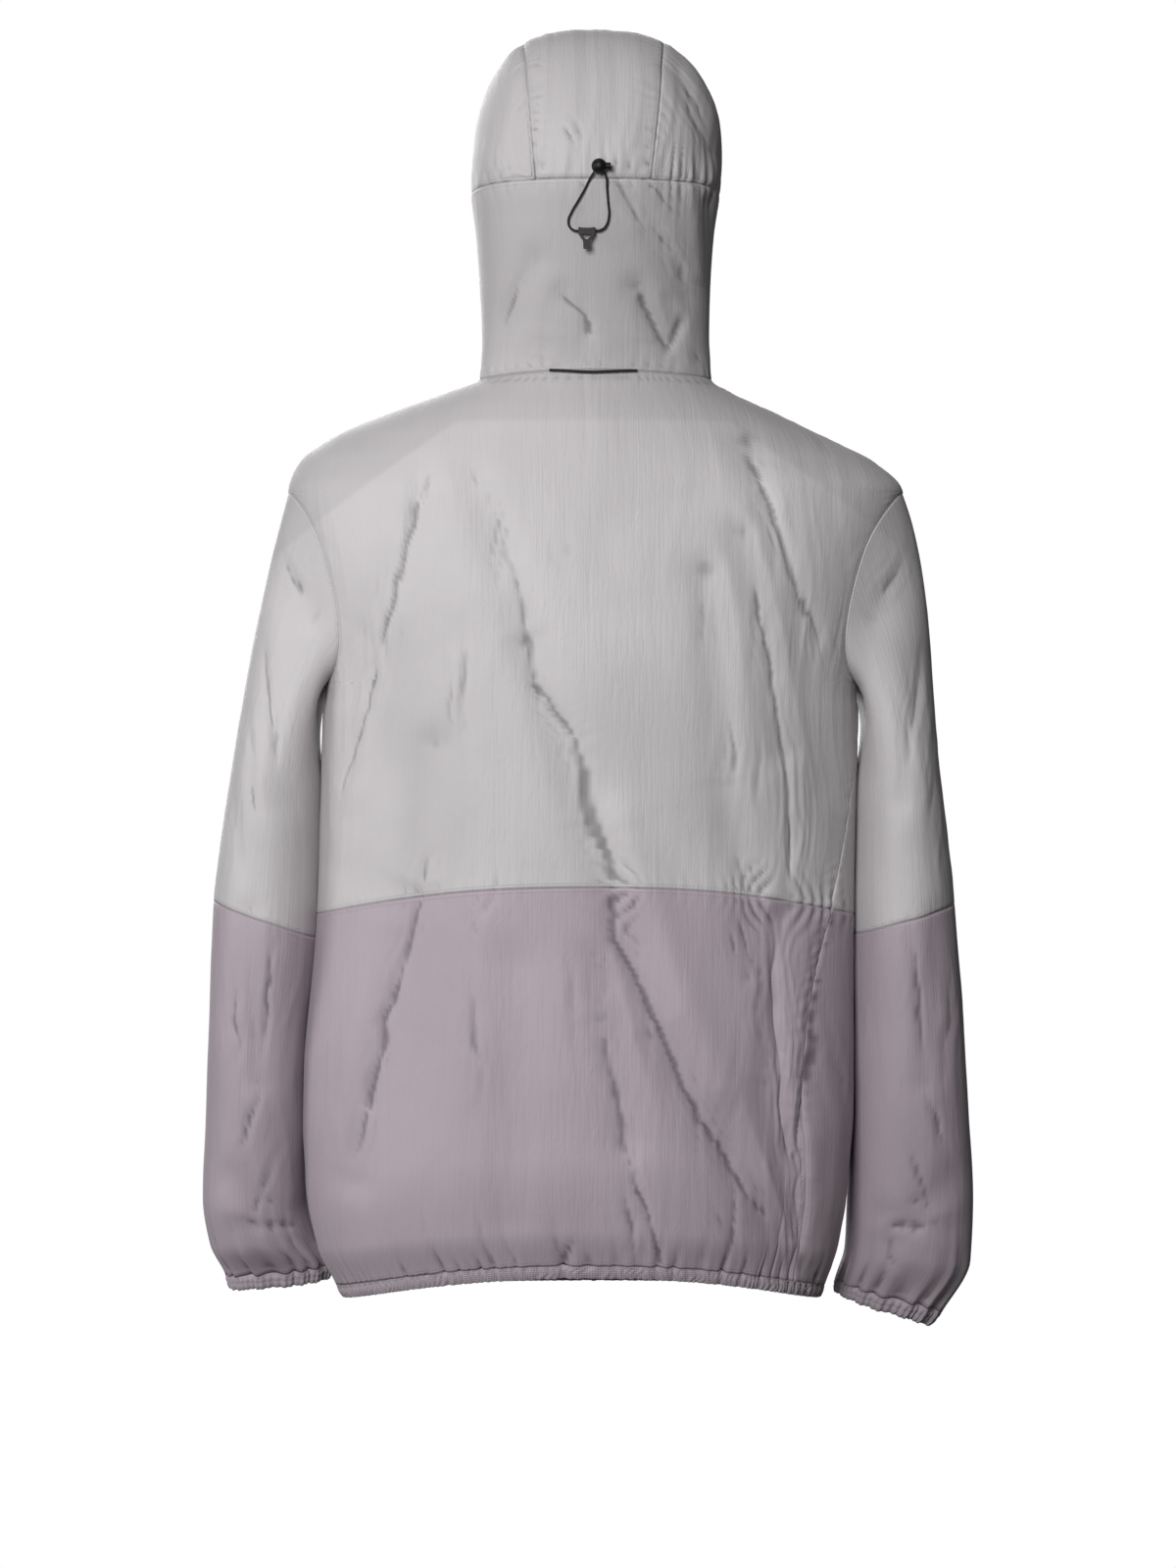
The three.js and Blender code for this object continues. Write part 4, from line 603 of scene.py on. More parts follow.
def body_cloth(angle: Field, level: Field) -> tuple[Field, Field]:
    """The body's cloth with its folds, wrinkles and gathers.

    Args:
        angle: Body angles.
        level: Levels.

    Returns:
        Points on the middle of the cloth, and outward directions.
    """
    p, n = body_form(angle, level), facing(body_form, angle, level)
    x, y, z = p[..., 0], p[..., 1], p[..., 2]
    hood = level > NECK_SEAM
    depth, near = fold_depth(Layer.BACK, x, z)
    for layer, place in ((Layer.FRONT, y < 0), (Layer.HOOD, hood)):
        other, other_near = fold_depth(layer, x, z)
        depth, near = np.where(place, other, depth), np.where(place, other_near, near)
    depth = depth * np.where(hood, y > 0, True)
    openness = np.minimum(1, np.abs(np.sin(np.radians(angle))) * 1.6) ** 2
    openness = np.where((y < 0) & (level > ARMHOLE_TOP), 0.0, openness)
    zip_calm = smoothstep(6, 26, np.abs(x)) * (y < 0) + (y >= 0)
    run = girth(angle, level)
    busy = 0.34 + 0.9 * near + 0.3 * smoothstep(-50, -150, x) * (y > 0)
    strength = np.where(hood, 0.55, 0.8 + 0.3 * smoothstep(-420, -620, level)) * busy
    seam_calm = smoothstep(2, 14, np.abs(level - NECK_SEAM)) * smoothstep(1, 12, np.abs(level - CHANNEL))
    wrinkles = crumple(run, level, Seed.CLOTH) * strength * seam_calm
    gathers = hem_gathers(angle, level) + channel_gathers(x, z) * np.clip(y / 20, 0, 1)
    below_arm = smoothstep(ARMPIT - 4, ARMPIT - 26, level) * smoothstep(-650, -590, level)
    swell = SIDE_SWELL * np.abs(np.cos(np.radians(angle))) ** 6 * below_arm
    height = (wrinkles + gathers) * zip_calm - depth * openness + swell
    return p + n * height[..., None], n


def zip_angle(side: int, beside: float, level: Field) -> Field:
    """Angle at which the body is a given distance beside its front centre."""
    reach = SECTION["left" if side > 0 else "right"](level)
    lean = np.degrees(np.arccos((beside / reach) ** (SECTION["square"](level) / 2)))
    return -lean if side > 0 else 180 + lean


def side_edge(side: int, level: Field, towards_back: bool) -> Field:
    """Angle of a panel's side edge from the side: side seam, then armhole, then shoulder seam."""
    seam = SEAM["left" if side > 0 else "right"](level) * (1 if towards_back else -1)
    height = np.clip((level - ARMPIT) / (ARMHOLE_TOP - ARMPIT), 0, 1)
    opened = (1 - np.abs(2 * height - 1) ** ARMHOLE_ROUNDNESS) ** (1 / ARMHOLE_ROUNDNESS)
    return np.where(level <= ARMPIT, seam, np.where(level >= ARMHOLE_TOP, 0, ARMHOLE_SPREAD * opened))


def body_angle(side: int, lean: Field) -> Field:
    """Body angle from an angle measured from a side towards the back."""
    return lean if side > 0 else 180 - lean


def back_angle(x: Field, level: Field) -> Field:
    """Angle on one of the body's sections of a point beside the middle of the back."""
    reach = np.where(np.asarray(x) >= 0, SECTION["left"](level), SECTION["right"](level))
    lean = np.degrees(np.arccos((np.abs(x) / reach) ** (SECTION["square"](level) / 2)))
    return np.where(np.asarray(x) >= 0, lean, 180 - lean)


# The sleeves' form


def sleeve_form(side: int, angle: Field, level: Field) -> Field:
    """Points of a sleeve's form below its cap, with the angle from its outer edge round by the back."""
    table = SLEEVES[side]
    c, s = np.cos(np.radians(angle)), np.sin(np.radians(angle))
    middle = (table["lateral"](level) + table["medial"](level)) / 2
    half = (table["lateral"](level) - table["medial"](level)) / 2
    x = middle + half * signed_power(c, 2 / SLEEVE_SQUARE)
    y = table["depth"](level) * signed_power(s, 2 / SLEEVE_SQUARE) - table["forward"](level)
    return stack(side * x, y, level + table["tilt"](level) * c)


def armhole_edge(side: int, angle: Field) -> Field:
    """Points of the armhole at the sleeve's angles: from its top down the back and up the front."""
    steps = len(ARMHOLE_ROWS) - 1
    place = (np.asarray(angle) % 360) / 180 * steps
    back = place <= steps
    row = np.where(back, steps - place, place - steps)
    level = np.interp(row, np.arange(steps + 1), ARMHOLE_ROWS)
    lean = side_edge(side, level, True)
    return body_form(body_angle(side, np.where(back, lean, -lean)), level)


def cap_form(side: int, angle: Field, share: Field) -> Field:
    """Points of a sleeve's cap, from the armhole at a share of 0 to the sleeve's top section at 1."""
    start, end = armhole_edge(side, angle), sleeve_form(side, angle, np.full_like(angle, SLEEVE_TOP))
    reach = np.linalg.norm(end - start, axis=-1)[..., None]
    under = ((1 - np.cos(np.radians(angle))) / 2) ** 2
    flare = SLEEVE_FLARE[side]
    outwards = flare + (0.7 - flare) * under
    leave = unit(stack(side * outwards, -0.35 * np.sin(np.radians(angle)), -0.95 + 0.45 * under))
    arrive = unit(sleeve_form(side, angle, np.full_like(angle, SLEEVE_TOP - 1.5)) - end)
    t = np.asarray(share)[..., None]
    blend = t * t * (3 - 2 * t)
    return start * (1 - blend) + end * blend + (leave * t * (1 - t) ** 2 + arrive * t * t * (t - 1)) * reach


# The crown of the hood


def crown_half(x: Field) -> Field:
    """Half the crown's width on the side of x."""
    return np.where(x >= 0, CROWN["left"], CROWN["right"])


def crown_depth(y: Field) -> Field:
    """How far the crown reaches back or forward, on the side of y."""
    return np.where(y >= 0, CROWN["back"], CROWN["front"])


def crown_from_side(side: int, y: Field, z: Field) -> Field:
    """Points of the crown from its side view, with z measured from the channel."""
    r, q = CROWN["roundness"], CROWN["square"]
    away = (np.abs(y / crown_depth(y)) ** r + np.abs(z / CROWN["height"]) ** r) ** (1 / r)
    x = CROWN["left" if side > 0 else "right"] * np.maximum(0, 1 - np.minimum(1, away) ** q) ** (1 / q)
    return stack(side * x, y, CHANNEL + z)


def crown_from_angle(x: Field, angle: Field) -> Field:
    """Points of the crown from their distance beside the middle and their angle over the top."""
    share = (1 - np.abs(x / crown_half(x)) ** CROWN["square"]) ** (1 / CROWN["square"])
    c, s = np.cos(np.radians(angle)), np.sin(np.radians(angle))
    y = share * crown_depth(c) * signed_power(c, 2 / CROWN["roundness"])
    z = share * CROWN["height"] * signed_power(s, 2 / CROWN["roundness"])
    return stack(x, y, CHANNEL + z)


def crown_facing(p: Field) -> Field:
    """Outward directions of the crown at points on it."""
    x, y, z = p[..., 0], p[..., 1], np.maximum(0, p[..., 2] - CHANNEL)
    reach_x, reach_y = crown_half(x), crown_depth(y)
    r, q, height = CROWN["roundness"], CROWN["square"], CROWN["height"]
    inner = np.abs(y / reach_y) ** r + np.abs(z / height) ** r
    chain = np.maximum(1e-6, inner) ** (q / r - 1)
    slope_x = signed_power(x / reach_x, q - 1) * q / reach_x
    slope_y = chain * q * signed_power(y / reach_y, r - 1) / reach_y
    slope_z = chain * q * signed_power(z / height, r - 1) / height
    return unit(stack(slope_x, slope_y, slope_z))


def crown_cloth(p: Field) -> tuple[Field, Field]:
    """The crown's cloth at points of its form, with its folds and wrinkles."""
    n = crown_facing(p)
    x, y, z = p[..., 0], p[..., 1], p[..., 2]
    behind = np.clip(y / 20, 0, 1)
    swell = np.where(x < 0, CROWN["bulge"] * np.sin(math.pi * (z - CHANNEL) / CROWN["height"]), 0)
    wrinkles = 0.5 * crumple(x * 1.2 + 500, z + 0.6 * y, Seed.CLOTH) * smoothstep(0, 12, z - CHANNEL)
    height = wrinkles + channel_gathers(x, z) * behind - fold_depth(Layer.HOOD, x, z)[0] * behind
    at = stack(x * (1 + swell), y, z)
    return at + n * height[..., None], n


def middle_half(angle: Field) -> Field:
    """Half the width of the crown's middle panel at an angle over the top."""
    rise = np.sin(np.radians(np.minimum(90, angle)))
    return MIDDLE_PANEL_LOW + (MIDDLE_PANEL_HIGH - MIDDLE_PANEL_LOW) * rise


def cloth_from_behind(x: float, z: float) -> tuple[Field, Field]:
    """A point of the back or of the hood's back as seen from behind, and its outward direction."""
    if z <= CHANNEL:
        level = np.array([z - float(SECTION["lift"](z))])
        angle = back_angle(np.array([x]), level)
        p, n = body_form(angle, level), facing(body_form, angle, level)
        return p[0] - n[0] * smooth_hood_depth(x, z), n[0]
    r, q = CROWN["roundness"], CROWN["square"]
    share = (1 - abs(x / CROWN["left" if x >= 0 else "right"]) ** q) ** (r / q)
    rise = ((z - CHANNEL) / CROWN["height"]) ** r
    y = CROWN["back"] * (share - rise) ** (1 / r)
    p = np.array([[x, y, z]])
    n = crown_facing(p)
    swell = CROWN["bulge"] * math.sin(math.pi * (z - CHANNEL) / CROWN["height"]) if x < 0 else 0
    return np.array([x * (1 + swell), y, z]) - n[0] * smooth_hood_depth(x, z), n[0]


def smooth_hood_depth(x: float, z: float) -> float:
    """Depth of the main folds alone at a place on the back, as the part's source has it."""
    folds = HOOD_FOLDS if z > NECK_SEAM + 3 else BACK_FOLDS
    at = (np.array([x], float), np.array([z], float))
    depths = [float(f[5] * np.exp(-((distance_along(f, *at)[0][0] / f[4]) ** 2))) for f in folds]
    return max(0.0, *depths) + min(0.0, *depths)


# Meshes


@dataclass
class Patch:
    """A sheet of cloth laid through a grid of points.

    Attributes:
        name: The piece's name.
        points: Rows by columns by 3, in millimetres, on the middle of the cloth.
        ring: True where the last column joins the first.
        thickness: Thickness of the cloth in millimetres.
        grain: Where each point lies across and along the weave, in millimetres, or None to measure it.
    """

    name: str
    points: Field
    ring: bool = False
    thickness: float = CLOTH_THICKNESS
    grain: Field | None = None

    def flat_size(self) -> tuple[float, float]:
        """Width and length of the cut piece in metres, from its longest row and its longest column."""
        rows = np.linalg.norm(np.diff(self.points, axis=1), axis=-1).sum(axis=1)
        columns = np.linalg.norm(np.diff(self.points, axis=0), axis=-1).sum(axis=0)
        return max(NARROWEST_CUT, float(rows.max()) * MM), max(NARROWEST_CUT, float(columns.max()) * MM)

    def area(self) -> float:
        """Area of the laid cloth in square metres."""
        p = self.points
        a, b, c, d = p[:-1, :-1], p[:-1, 1:], p[1:, 1:], p[1:, :-1]
        first = np.linalg.norm(np.cross(b - a, c - a), axis=-1)
        second = np.linalg.norm(np.cross(c - a, d - a), axis=-1)
        return float((first + second).sum()) / 2 * MM * MM

    def hollows(self) -> Field:
        """How deep each point lies in a crease, from 0 to 1, against the cloth a little way round it."""
        p, reach = self.points, HOLLOW_REACH
        n = unit(np.cross(np.gradient(p, axis=1), np.gradient(p, axis=0)))
        n = n * np.sign(np.sum(n * (p - garment_axis(p))))
        wide = np.pad(p, ((reach, reach), (reach, reach), (0, 0)), mode="edge")
        rows, columns = p.shape[:2]
        side = wide[reach : reach + rows, : columns] + wide[reach : reach + rows, 2 * reach :]
        upright = wide[:rows, reach : reach + columns] + wide[2 * reach :, reach : reach + columns]
        sunk = np.sum(((side + upright) / 4 - p) * n, axis=-1)
        sunk[:reach], sunk[-reach:] = sunk[:reach] * 0.3, sunk[-reach:] * 0.3
        return np.clip((sunk - HOLLOW_LEAST) / HOLLOW_FULL, 0, 1)

    def build(self) -> bpy.types.Object:
        """Makes the mesh: a grid with its maps in metres, given its thickness by a live modifier."""
        rows, columns = self.points.shape[:2]
        bm = bmesh.new()
        bmesh.ops.create_grid(bm, x_segments=columns - 1, y_segments=rows - 1, size=1.0)
        bm.verts.ensure_lookup_table()
        where = np.array([v.co[:2] for v in bm.verts])
        column = np.rint((where[:, 0] + 1) / 2 * (columns - 1)).astype(int)
        row = np.rint((where[:, 1] + 1) / 2 * (rows - 1)).astype(int)
        places = self.points[row, column] * MM
        across = np.zeros((rows, columns))
        across[:, 1:] = np.cumsum(np.linalg.norm(np.diff(self.points, axis=1), axis=-1), axis=1) * MM
        along = np.zeros((rows, columns))
        along[1:] = np.cumsum(np.linalg.norm(np.diff(self.points, axis=0), axis=-1), axis=0) * MM
        across -= across[:, columns // 2 : columns // 2 + 1]
        edge, seam_run = np.minimum(along, along[-1:] - along), along + across
        if not self.ring:
            run = across - across[:, :1]
            edge = np.minimum(edge, np.minimum(run, run[:, -1:] - run))
        weave = stack(across, along, 0 * along) if self.grain is None else self.grain * MM
        runs = bm.loops.layers.uv.new("Run")
        edges = bm.loops.layers.uv.new("Edge")
        # The Hollow map carries each point's depth in a crease, which the nylon turns into painted shade
        sunken = bm.loops.layers.uv.new("Hollow")
        hollow = self.hollows()
        for v, place in zip(bm.verts, places):
            v.co = place
        for face in bm.faces:
            for loop in face.loops:
                at = row[loop.vert.index], column[loop.vert.index]
                loop[runs].uv = weave[at][:2]
                loop[edges].uv = (edge[at], seam_run[at])
                loop[sunken].uv = (hollow[at], 0.0)
        if self.ring:
            bmesh.ops.remove_doubles(bm, verts=bm.verts, dist=1e-5)
        turn_outwards(bm, self.points)
        obj = mesh_object(self.name, bm)
        wall = obj.modifiers.new("Thickness", "SOLIDIFY")
        wall.thickness = self.thickness * MM
        wall.offset = 0.0
        return obj


def garment_axis(points: Field) -> Field:
    """A point on the axis of the part of the garment that a sheet goes round, in millimetres."""
    middle = points.reshape(-1, 3).mean(axis=0)
    return middle if abs(middle[0]) > 190 else np.array([0.0, 0.0, middle[2]])


def turn_outwards(bm: bmesh.types.BMesh, points: Field) -> None:
    """Flips a sheet's faces if they look into the garment.

    Args:
        bm: The sheet.
        points: Its grid, whose middle tells where the garment's axis is.
    """
    axis = Vector(garment_axis(points) * MM)
    bm.normal_update()
    votes = sum(f.normal.dot(f.calc_center_median() - axis) * f.calc_area() for f in bm.faces)
    if votes < 0:
        bmesh.ops.reverse_faces(bm, faces=bm.faces)


def add_object(name: str, data: bpy.types.ID) -> bpy.types.Object:
    """Puts an object with its data into the scene."""
    obj = bpy.data.objects.new(name, data)
    bpy.context.scene.collection.objects.link(obj)
    return obj


def mesh_object(name: str, bm: bmesh.types.BMesh, smooth: bool = True) -> bpy.types.Object:
    """Turns a bmesh into a shaded object at the origin.

    Args:
        name: The object's name.
        bm: The finished mesh, which is freed.
        smooth: True for rounded shading.

    Returns:
        The new object.
    """
    mesh = bpy.data.meshes.new(name)
    bm.to_mesh(mesh)
    bm.free()
    mesh.polygons.foreach_set("use_smooth", [smooth] * len(mesh.polygons))
    return add_object(name, mesh)


# Finishes


class Sock:
    """A shader socket that takes part in Python expressions."""

    def __init__(self, finish: Finish, socket: bpy.types.NodeSocket) -> None:
        """Wraps a socket of a finish's tree."""
        self.finish = finish
        self.socket = socket

    def _math(self, operation: str, *values: Sock | float) -> Sock:
        """Adds a Math node on this socket and others."""
        return self.finish.node("ShaderNodeMath", {"operation": operation}, dict(enumerate(values)))

    def __add__(self, other: Sock | float) -> Sock:
        """Sum."""
        return self._math("ADD", self, other)

    __radd__ = __add__

    def __sub__(self, other: Sock | float) -> Sock:
        """Difference."""
        return self._math("SUBTRACT", self, other)

    def __rsub__(self, other: float) -> Sock:
        """Difference from a number."""
        return self._math("SUBTRACT", other, self)

    def __mul__(self, other: Sock | float) -> Sock:
        """Product."""
        return self._math("MULTIPLY", self, other)

    __rmul__ = __mul__

    def __pow__(self, other: float) -> Sock:
        """Power."""
        return self._math("POWER", self, other)

    def __abs__(self) -> Sock:
        """Distance from 0."""
        return self._math("ABSOLUTE", self)

    def wave(self) -> Sock:
        """Sine."""
        return self._math("SINE", self)

    def above(self, level: float, blend: float) -> Sock:
        """Rises from 0 to 1 across a level."""
        settings = {"interpolation_type": "SMOOTHSTEP"}
        values = {0: self, 1: level - blend, 2: level + blend, 3: 0.0, 4: 1.0}
        return self.finish.node("ShaderNodeMapRange", settings, values)


def rgba(value: Sock | float | Colour) -> Sock | float | tuple[float, ...]:
    """Gives a colour its alpha, and leaves anything else as it is."""
    return (*value, 1.0) if isinstance(value, tuple) else value


@dataclass
class Finish:
    """A material that is built up node by node."""

    name: str
    material: bpy.types.Material = field(init=False)

    def __post_init__(self) -> None:
        """Starts the material with its shader."""
        self.material = bpy.data.materials.new(self.name)
        self.material.use_nodes = True
        self.shader = self.material.node_tree.nodes["Principled BSDF"]

    def node(
        self, kind: str, settings: dict | None = None, values: dict | None = None, out: int | str = 0
    ) -> Sock:
        """Adds a node.

        Args:
            kind: The node's type.
            settings: Its settings, which are set first.
            values: Values or links of its sockets, by name or number.
            out: The output that is returned.

        Returns:
            The output socket.
        """
        made = self.material.node_tree.nodes.new(kind)
        for key, value in (settings or {}).items():
            setattr(made, key, value)
        for key, value in (values or {}).items():
            self.feed(made.inputs[key], value)
        return Sock(self, made.outputs[out])

    def feed(self, target: bpy.types.NodeSocket, value: Sock | float | Sequence[float]) -> None:
        """Links or sets a socket."""
        if isinstance(value, Sock):
            self.material.node_tree.links.new(value.socket, target)
        else:
            target.default_value = value

    def set(self, **values: Sock | float | Colour) -> None:
        """Sets the shader's sockets, by name with _ for a space."""
        for key, value in values.items():
            self.feed(self.shader.inputs[key.replace("_", " ")], rgba(value))

    def mix(self, share: Sock, low: Sock | Colour, high: Sock | Colour) -> Sock:
        """Mixes two colours."""
        values = {0: share, 6: rgba(low), 7: rgba(high)}
        return self.node("ShaderNodeMix", {"data_type": "RGBA"}, values, 2)

    def run(self, name: str) -> Sock:
        """The piece's own map of that name."""
        return self.node("ShaderNodeUVMap", {"uv_map": name})

    def place(self) -> Sock:
        """The piece's object coordinates."""
        return self.node("ShaderNodeTexCoord", out="Object")

    def split(self, vector: Sock) -> tuple[Sock, Sock, Sock]:
        """The three parts of a vector."""
        first = self.node("ShaderNodeSeparateXYZ", values={0: vector})
        outputs = first.socket.node.outputs
        return first, Sock(self, outputs[1]), Sock(self, outputs[2])

    def noise(self, vector: Sock, scale: Sequence[float], detail: float = 2.0, warp: float = 0.0) -> Sock:
        """Noise over a vector stretched by a scale for each axis."""
        at = self.node("ShaderNodeMapping", values={"Vector": vector, "Scale": tuple(scale)})
        values = {"Vector": at, "Scale": 1.0, "Detail": detail, "Distortion": warp}
        return self.node("ShaderNodeTexNoise", values=values)

    def bump(self, height: Sock, distance: float, strength: float) -> Sock:
        """Bumps the surface by a height."""
        values = {"Height": height, "Distance": distance, "Strength": strength}
        return self.node("ShaderNodeBump", values=values)


@dataclass(frozen=True)
class Nylon:
    """Thin crinkled nylon.

    Attributes:
        name: The finish's name.
        colour: Its colour in full light.
        deep: Its darker colour, for random tone, seams, stitches and the yoke, and for painted shade in
            creases and between crinkles.
        yoke: True where the cloth lies double over the shoulders and looks a little darker.
        seam_half: How far a seam's groove reaches from the edge, in metres.
        stitch_line: How far the stitches lie from the edge.
        stitch_pitch: Length of a stitch with its gap.
        yoke_level: Level of the yoke's lower edge by the neck.
        yoke_half: Distance beside the middle at which that edge starts to fall.
        yoke_fall: How far it falls for each metre further out, halved.
        shade: Share of the painted shade that a deep hollow takes.
        dark: How bright that painted shade is beside the deep colour.
    """

    name: str
    colour: Colour
    deep: Colour
    yoke: bool = False
    seam_half: float = 0.0013
    stitch_line: float = 0.0031
    stitch_pitch: float = 0.0028
    yoke_level: float = -0.045
    yoke_half: float = 0.107
    yoke_fall: float = 0.36
    shade: float = 0.75
    dark: float = 0.42

    def make(self) -> bpy.types.Material:
        """Builds the material."""
        finish = Finish(self.name)
        run = finish.run("Run")
        edge, along, _ = finish.split(finish.run("Edge"))
        upright = finish.noise(run, (230.0, 11.0, 1.0), 4.0, 0.35)
        crossed = finish.noise(run, (120.0, 34.0, 1.0), 4.0, 0.9)
        fine = finish.noise(run, (900.0, 60.0, 1.0), 2.0)
        creased = 1.0 - abs(crossed * 2.0 - 1.0)
        ridged = 1.0 - abs(upright * 2.0 - 1.0)
        height = ridged * 0.32 + creased * 0.22 + fine * 0.1
        seam = 1.0 - edge.above(self.seam_half, 0.0009)
        stitches = (along * (2 * math.pi / self.stitch_pitch)).wave().above(0.1, 0.5)
        line = (1.0 - abs(edge - self.stitch_line).above(0.0007, 0.0003)) * stitches
        height = height - seam * 0.1 - line * 0.2
        tone = finish.noise(run, (9.0, 7.0, 1.0), 3.0, 0.4)
        # Random tone, plus painted shade between the crests of the crinkle bump
        base = finish.mix(tone.above(0.5, 0.25) * 0.5 + (1.0 - creased) * 0.12, self.colour, self.deep)
        if self.yoke:
            x, _, z = finish.split(finish.place())
            beyond = abs(x) - self.yoke_half
            lowered = (beyond + abs(beyond)) * self.yoke_fall
            base = finish.mix((z + lowered).above(self.yoke_level, 0.003) * 0.5, base, self.deep)
        base = finish.mix(line * 0.2 + seam * 0.1, base, self.deep)
        # Painted shade: the colour darkens towards the deep colour in creases and hollows, following the
        # cavity map
        hollow, _, _ = finish.split(finish.run("Hollow"))
        base = finish.mix(hollow * self.shade, base, tuple(self.dark * part for part in self.deep))
        finish.set(Base_Color=base, Roughness=0.5 + tone * 0.14, Specular_IOR_Level=0.42, Sheen_Weight=0.12)
        finish.set(Normal=finish.bump(height, 0.0011, 0.85))
        return finish.material


@dataclass(frozen=True)
class Webbing:
    """Close-woven tape or folded elastic, with fine ribs across its run."""

    name: str
    colour: Colour
    deep: Colour
    pitch: float

    def make(self) -> bpy.types.Material:
        """Builds the material."""
        finish = Finish(self.name)
        across, along, _ = finish.split(finish.run("Run"))
        ribs = (across * (2 * math.pi / self.pitch)).wave()
        rows = (along * (2 * math.pi / (self.pitch * 0.8))).wave()
        rough = finish.noise(finish.run("Run"), (900.0, 700.0, 1.0), 2.0)
        height = ribs * 0.5 + rows * 0.35 + rough * 0.4
        # Painted shade: the ribs' troughs are darker than their crests; the rough noise varies the tone at
        # random
        base = finish.mix((ribs + 1.0) * 0.3 + rough * 0.3, self.deep, self.colour)
        finish.set(Base_Color=base, Roughness=0.72, Specular_IOR_Level=0.3, Sheen_Weight=0.15)
        finish.set(Normal=finish.bump(height, 0.0003, 0.7))
        return finish.material


@dataclass(frozen=True)
class Plastic:
    """Moulded black plastic with a fine spark texture and lighter rubbed patches."""

    name: str
    colour: Colour
    worn: Colour
    roughness: float

    def make(self) -> bpy.types.Material:
        """Builds the material."""
        finish = Finish(self.name)
        place = finish.place()
        spark = finish.noise(place, (2600.0, 2600.0, 2600.0), 2.0)
        smear = finish.noise(place, (160.0, 160.0, 160.0), 3.0)
        base = finish.mix(smear.above(0.62, 0.1) * 0.5, self.colour, self.worn)
        finish.set(Base_Color=base, Roughness=self.roughness + smear * 0.12, Specular_IOR_Level=0.3)
        finish.set(Normal=finish.bump(spark, 0.00006, 0.6))
        return finish.material


@dataclass(frozen=True)
class Braid:
    """Braided black cord."""

    name: str
    colour: Colour
    light: Colour

    def make(self) -> bpy.types.Material:
        """Builds the material."""
        finish = Finish(self.name)
        x, _, z = finish.split(finish.place())
        strands = ((x + z) * 5200.0).wave() * ((z - x) * 5200.0).wave()
        fuzz = finish.noise(finish.place(), (1500.0, 1500.0, 1500.0), 2.0)
        # Painted light and shade: the strands' crests are lighter than the hollows between them
        base = finish.mix(strands.above(0.0, 0.6) * 0.7, self.colour, self.light)
        finish.set(Base_Color=base, Roughness=0.8, Sheen_Weight=0.1, Specular_IOR_Level=0.25)
        finish.set(Normal=finish.bump(strands + fuzz, 0.00012, 0.8))
        return finish.material


class Slot(Enum):
    """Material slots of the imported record."""

    UPPER = "upper_cloth"
    LOWER = "lower_cloth"
    BAND = "elastic_band"
    TAPE = "grey_tape"
    PLASTIC = "black_plastic"
    CORD = "black_cord"


FINISHES = {
    Slot.UPPER: Nylon("grey_nylon", (0.60, 0.575, 0.585), (0.46, 0.44, 0.45), yoke=True),
    Slot.LOWER: Nylon("mauve_nylon", (0.455, 0.385, 0.435), (0.35, 0.29, 0.335)),
    Slot.BAND: Webbing("mauve_elastic", (0.47, 0.405, 0.45), (0.38, 0.325, 0.365), 0.0021),
    Slot.TAPE: Webbing("grey_tape", (0.5, 0.48, 0.49), (0.36, 0.345, 0.355), 0.0009),
    Slot.PLASTIC: Plastic("black_plastic", (0.004, 0.004, 0.005), (0.012, 0.012, 0.013), 0.42),
    Slot.CORD: Braid("black_braid", (0.008, 0.008, 0.01), (0.035, 0.035, 0.04)),
}


@dataclass
class Wardrobe:
    """Makes each finish once and dresses pieces with it."""

    made: dict[Slot, bpy.types.Material] = field(default_factory=dict)

    def dress(self, obj: bpy.types.Object, slot: Slot) -> None:
        """Gives a piece its finish."""
        if slot not in self.made:
            self.made[slot] = FINISHES[slot].make()
        obj.data.materials.clear()
        obj.data.materials.append(self.made[slot])

    def lay(self, patch: Patch, slot: Slot, node: str, held: str = "stretched") -> bpy.types.Object:
        """Builds a sheet of cloth in the place of a node of the frame.

        Args:
            patch: The cloth.
            slot: Its finish.
            node: The node that it stands for.
            held: How the cloth is held; not used.

        Returns:
            The piece.
        """
        obj = patch.build()
        self.dress(obj, slot)
        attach(obj, BODY)
        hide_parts(node)
        width, length = patch.flat_size()
        area = min(patch.area(), 0.995 * width * length)
        LOG.info("%s: cut %.0f x %.0f mm, %.4f m2", obj.name, width * 1000, length * 1000, area)
        return obj


def run_between(*stops: float, step: float) -> Field:
    """Levels from the first stop to the last, each stop among them, about a step apart."""
    parts = [np.linspace(a, b, max(2, round(abs(b - a) / step) + 1))[:-1] for a, b in zip(stops, stops[1:])]
    return np.concatenate([*parts, [stops[-1]]])


def armhole_levels(per_row: int) -> Field:
    """Levels of the armhole's rows, each stretch cut into the same number of steps."""
    places = np.arange(0, len(ARMHOLE_ROWS) - 1 + 0.5 / per_row, 1 / per_row)
    return np.interp(places, np.arange(len(ARMHOLE_ROWS)), ARMHOLE_ROWS)


def seam_pucker(
    distance: Field, run: Field, seed: int, reach: Field | float = 9.0, height: Field | float = 0.8
) -> Field:
    """Small waves and a groove beside a seam, which are nothing on the seam itself."""
    phase = run / 11 + 1.5 * lattice_noise(run / 33, distance / 40, seed) + distance / 60
    waves = np.cos(2 * math.pi * phase) * np.exp(-distance / reach)
    return height * waves * (1 - np.exp(-distance / 1.6)) - 0.2 * np.exp(-distance / 1.1)


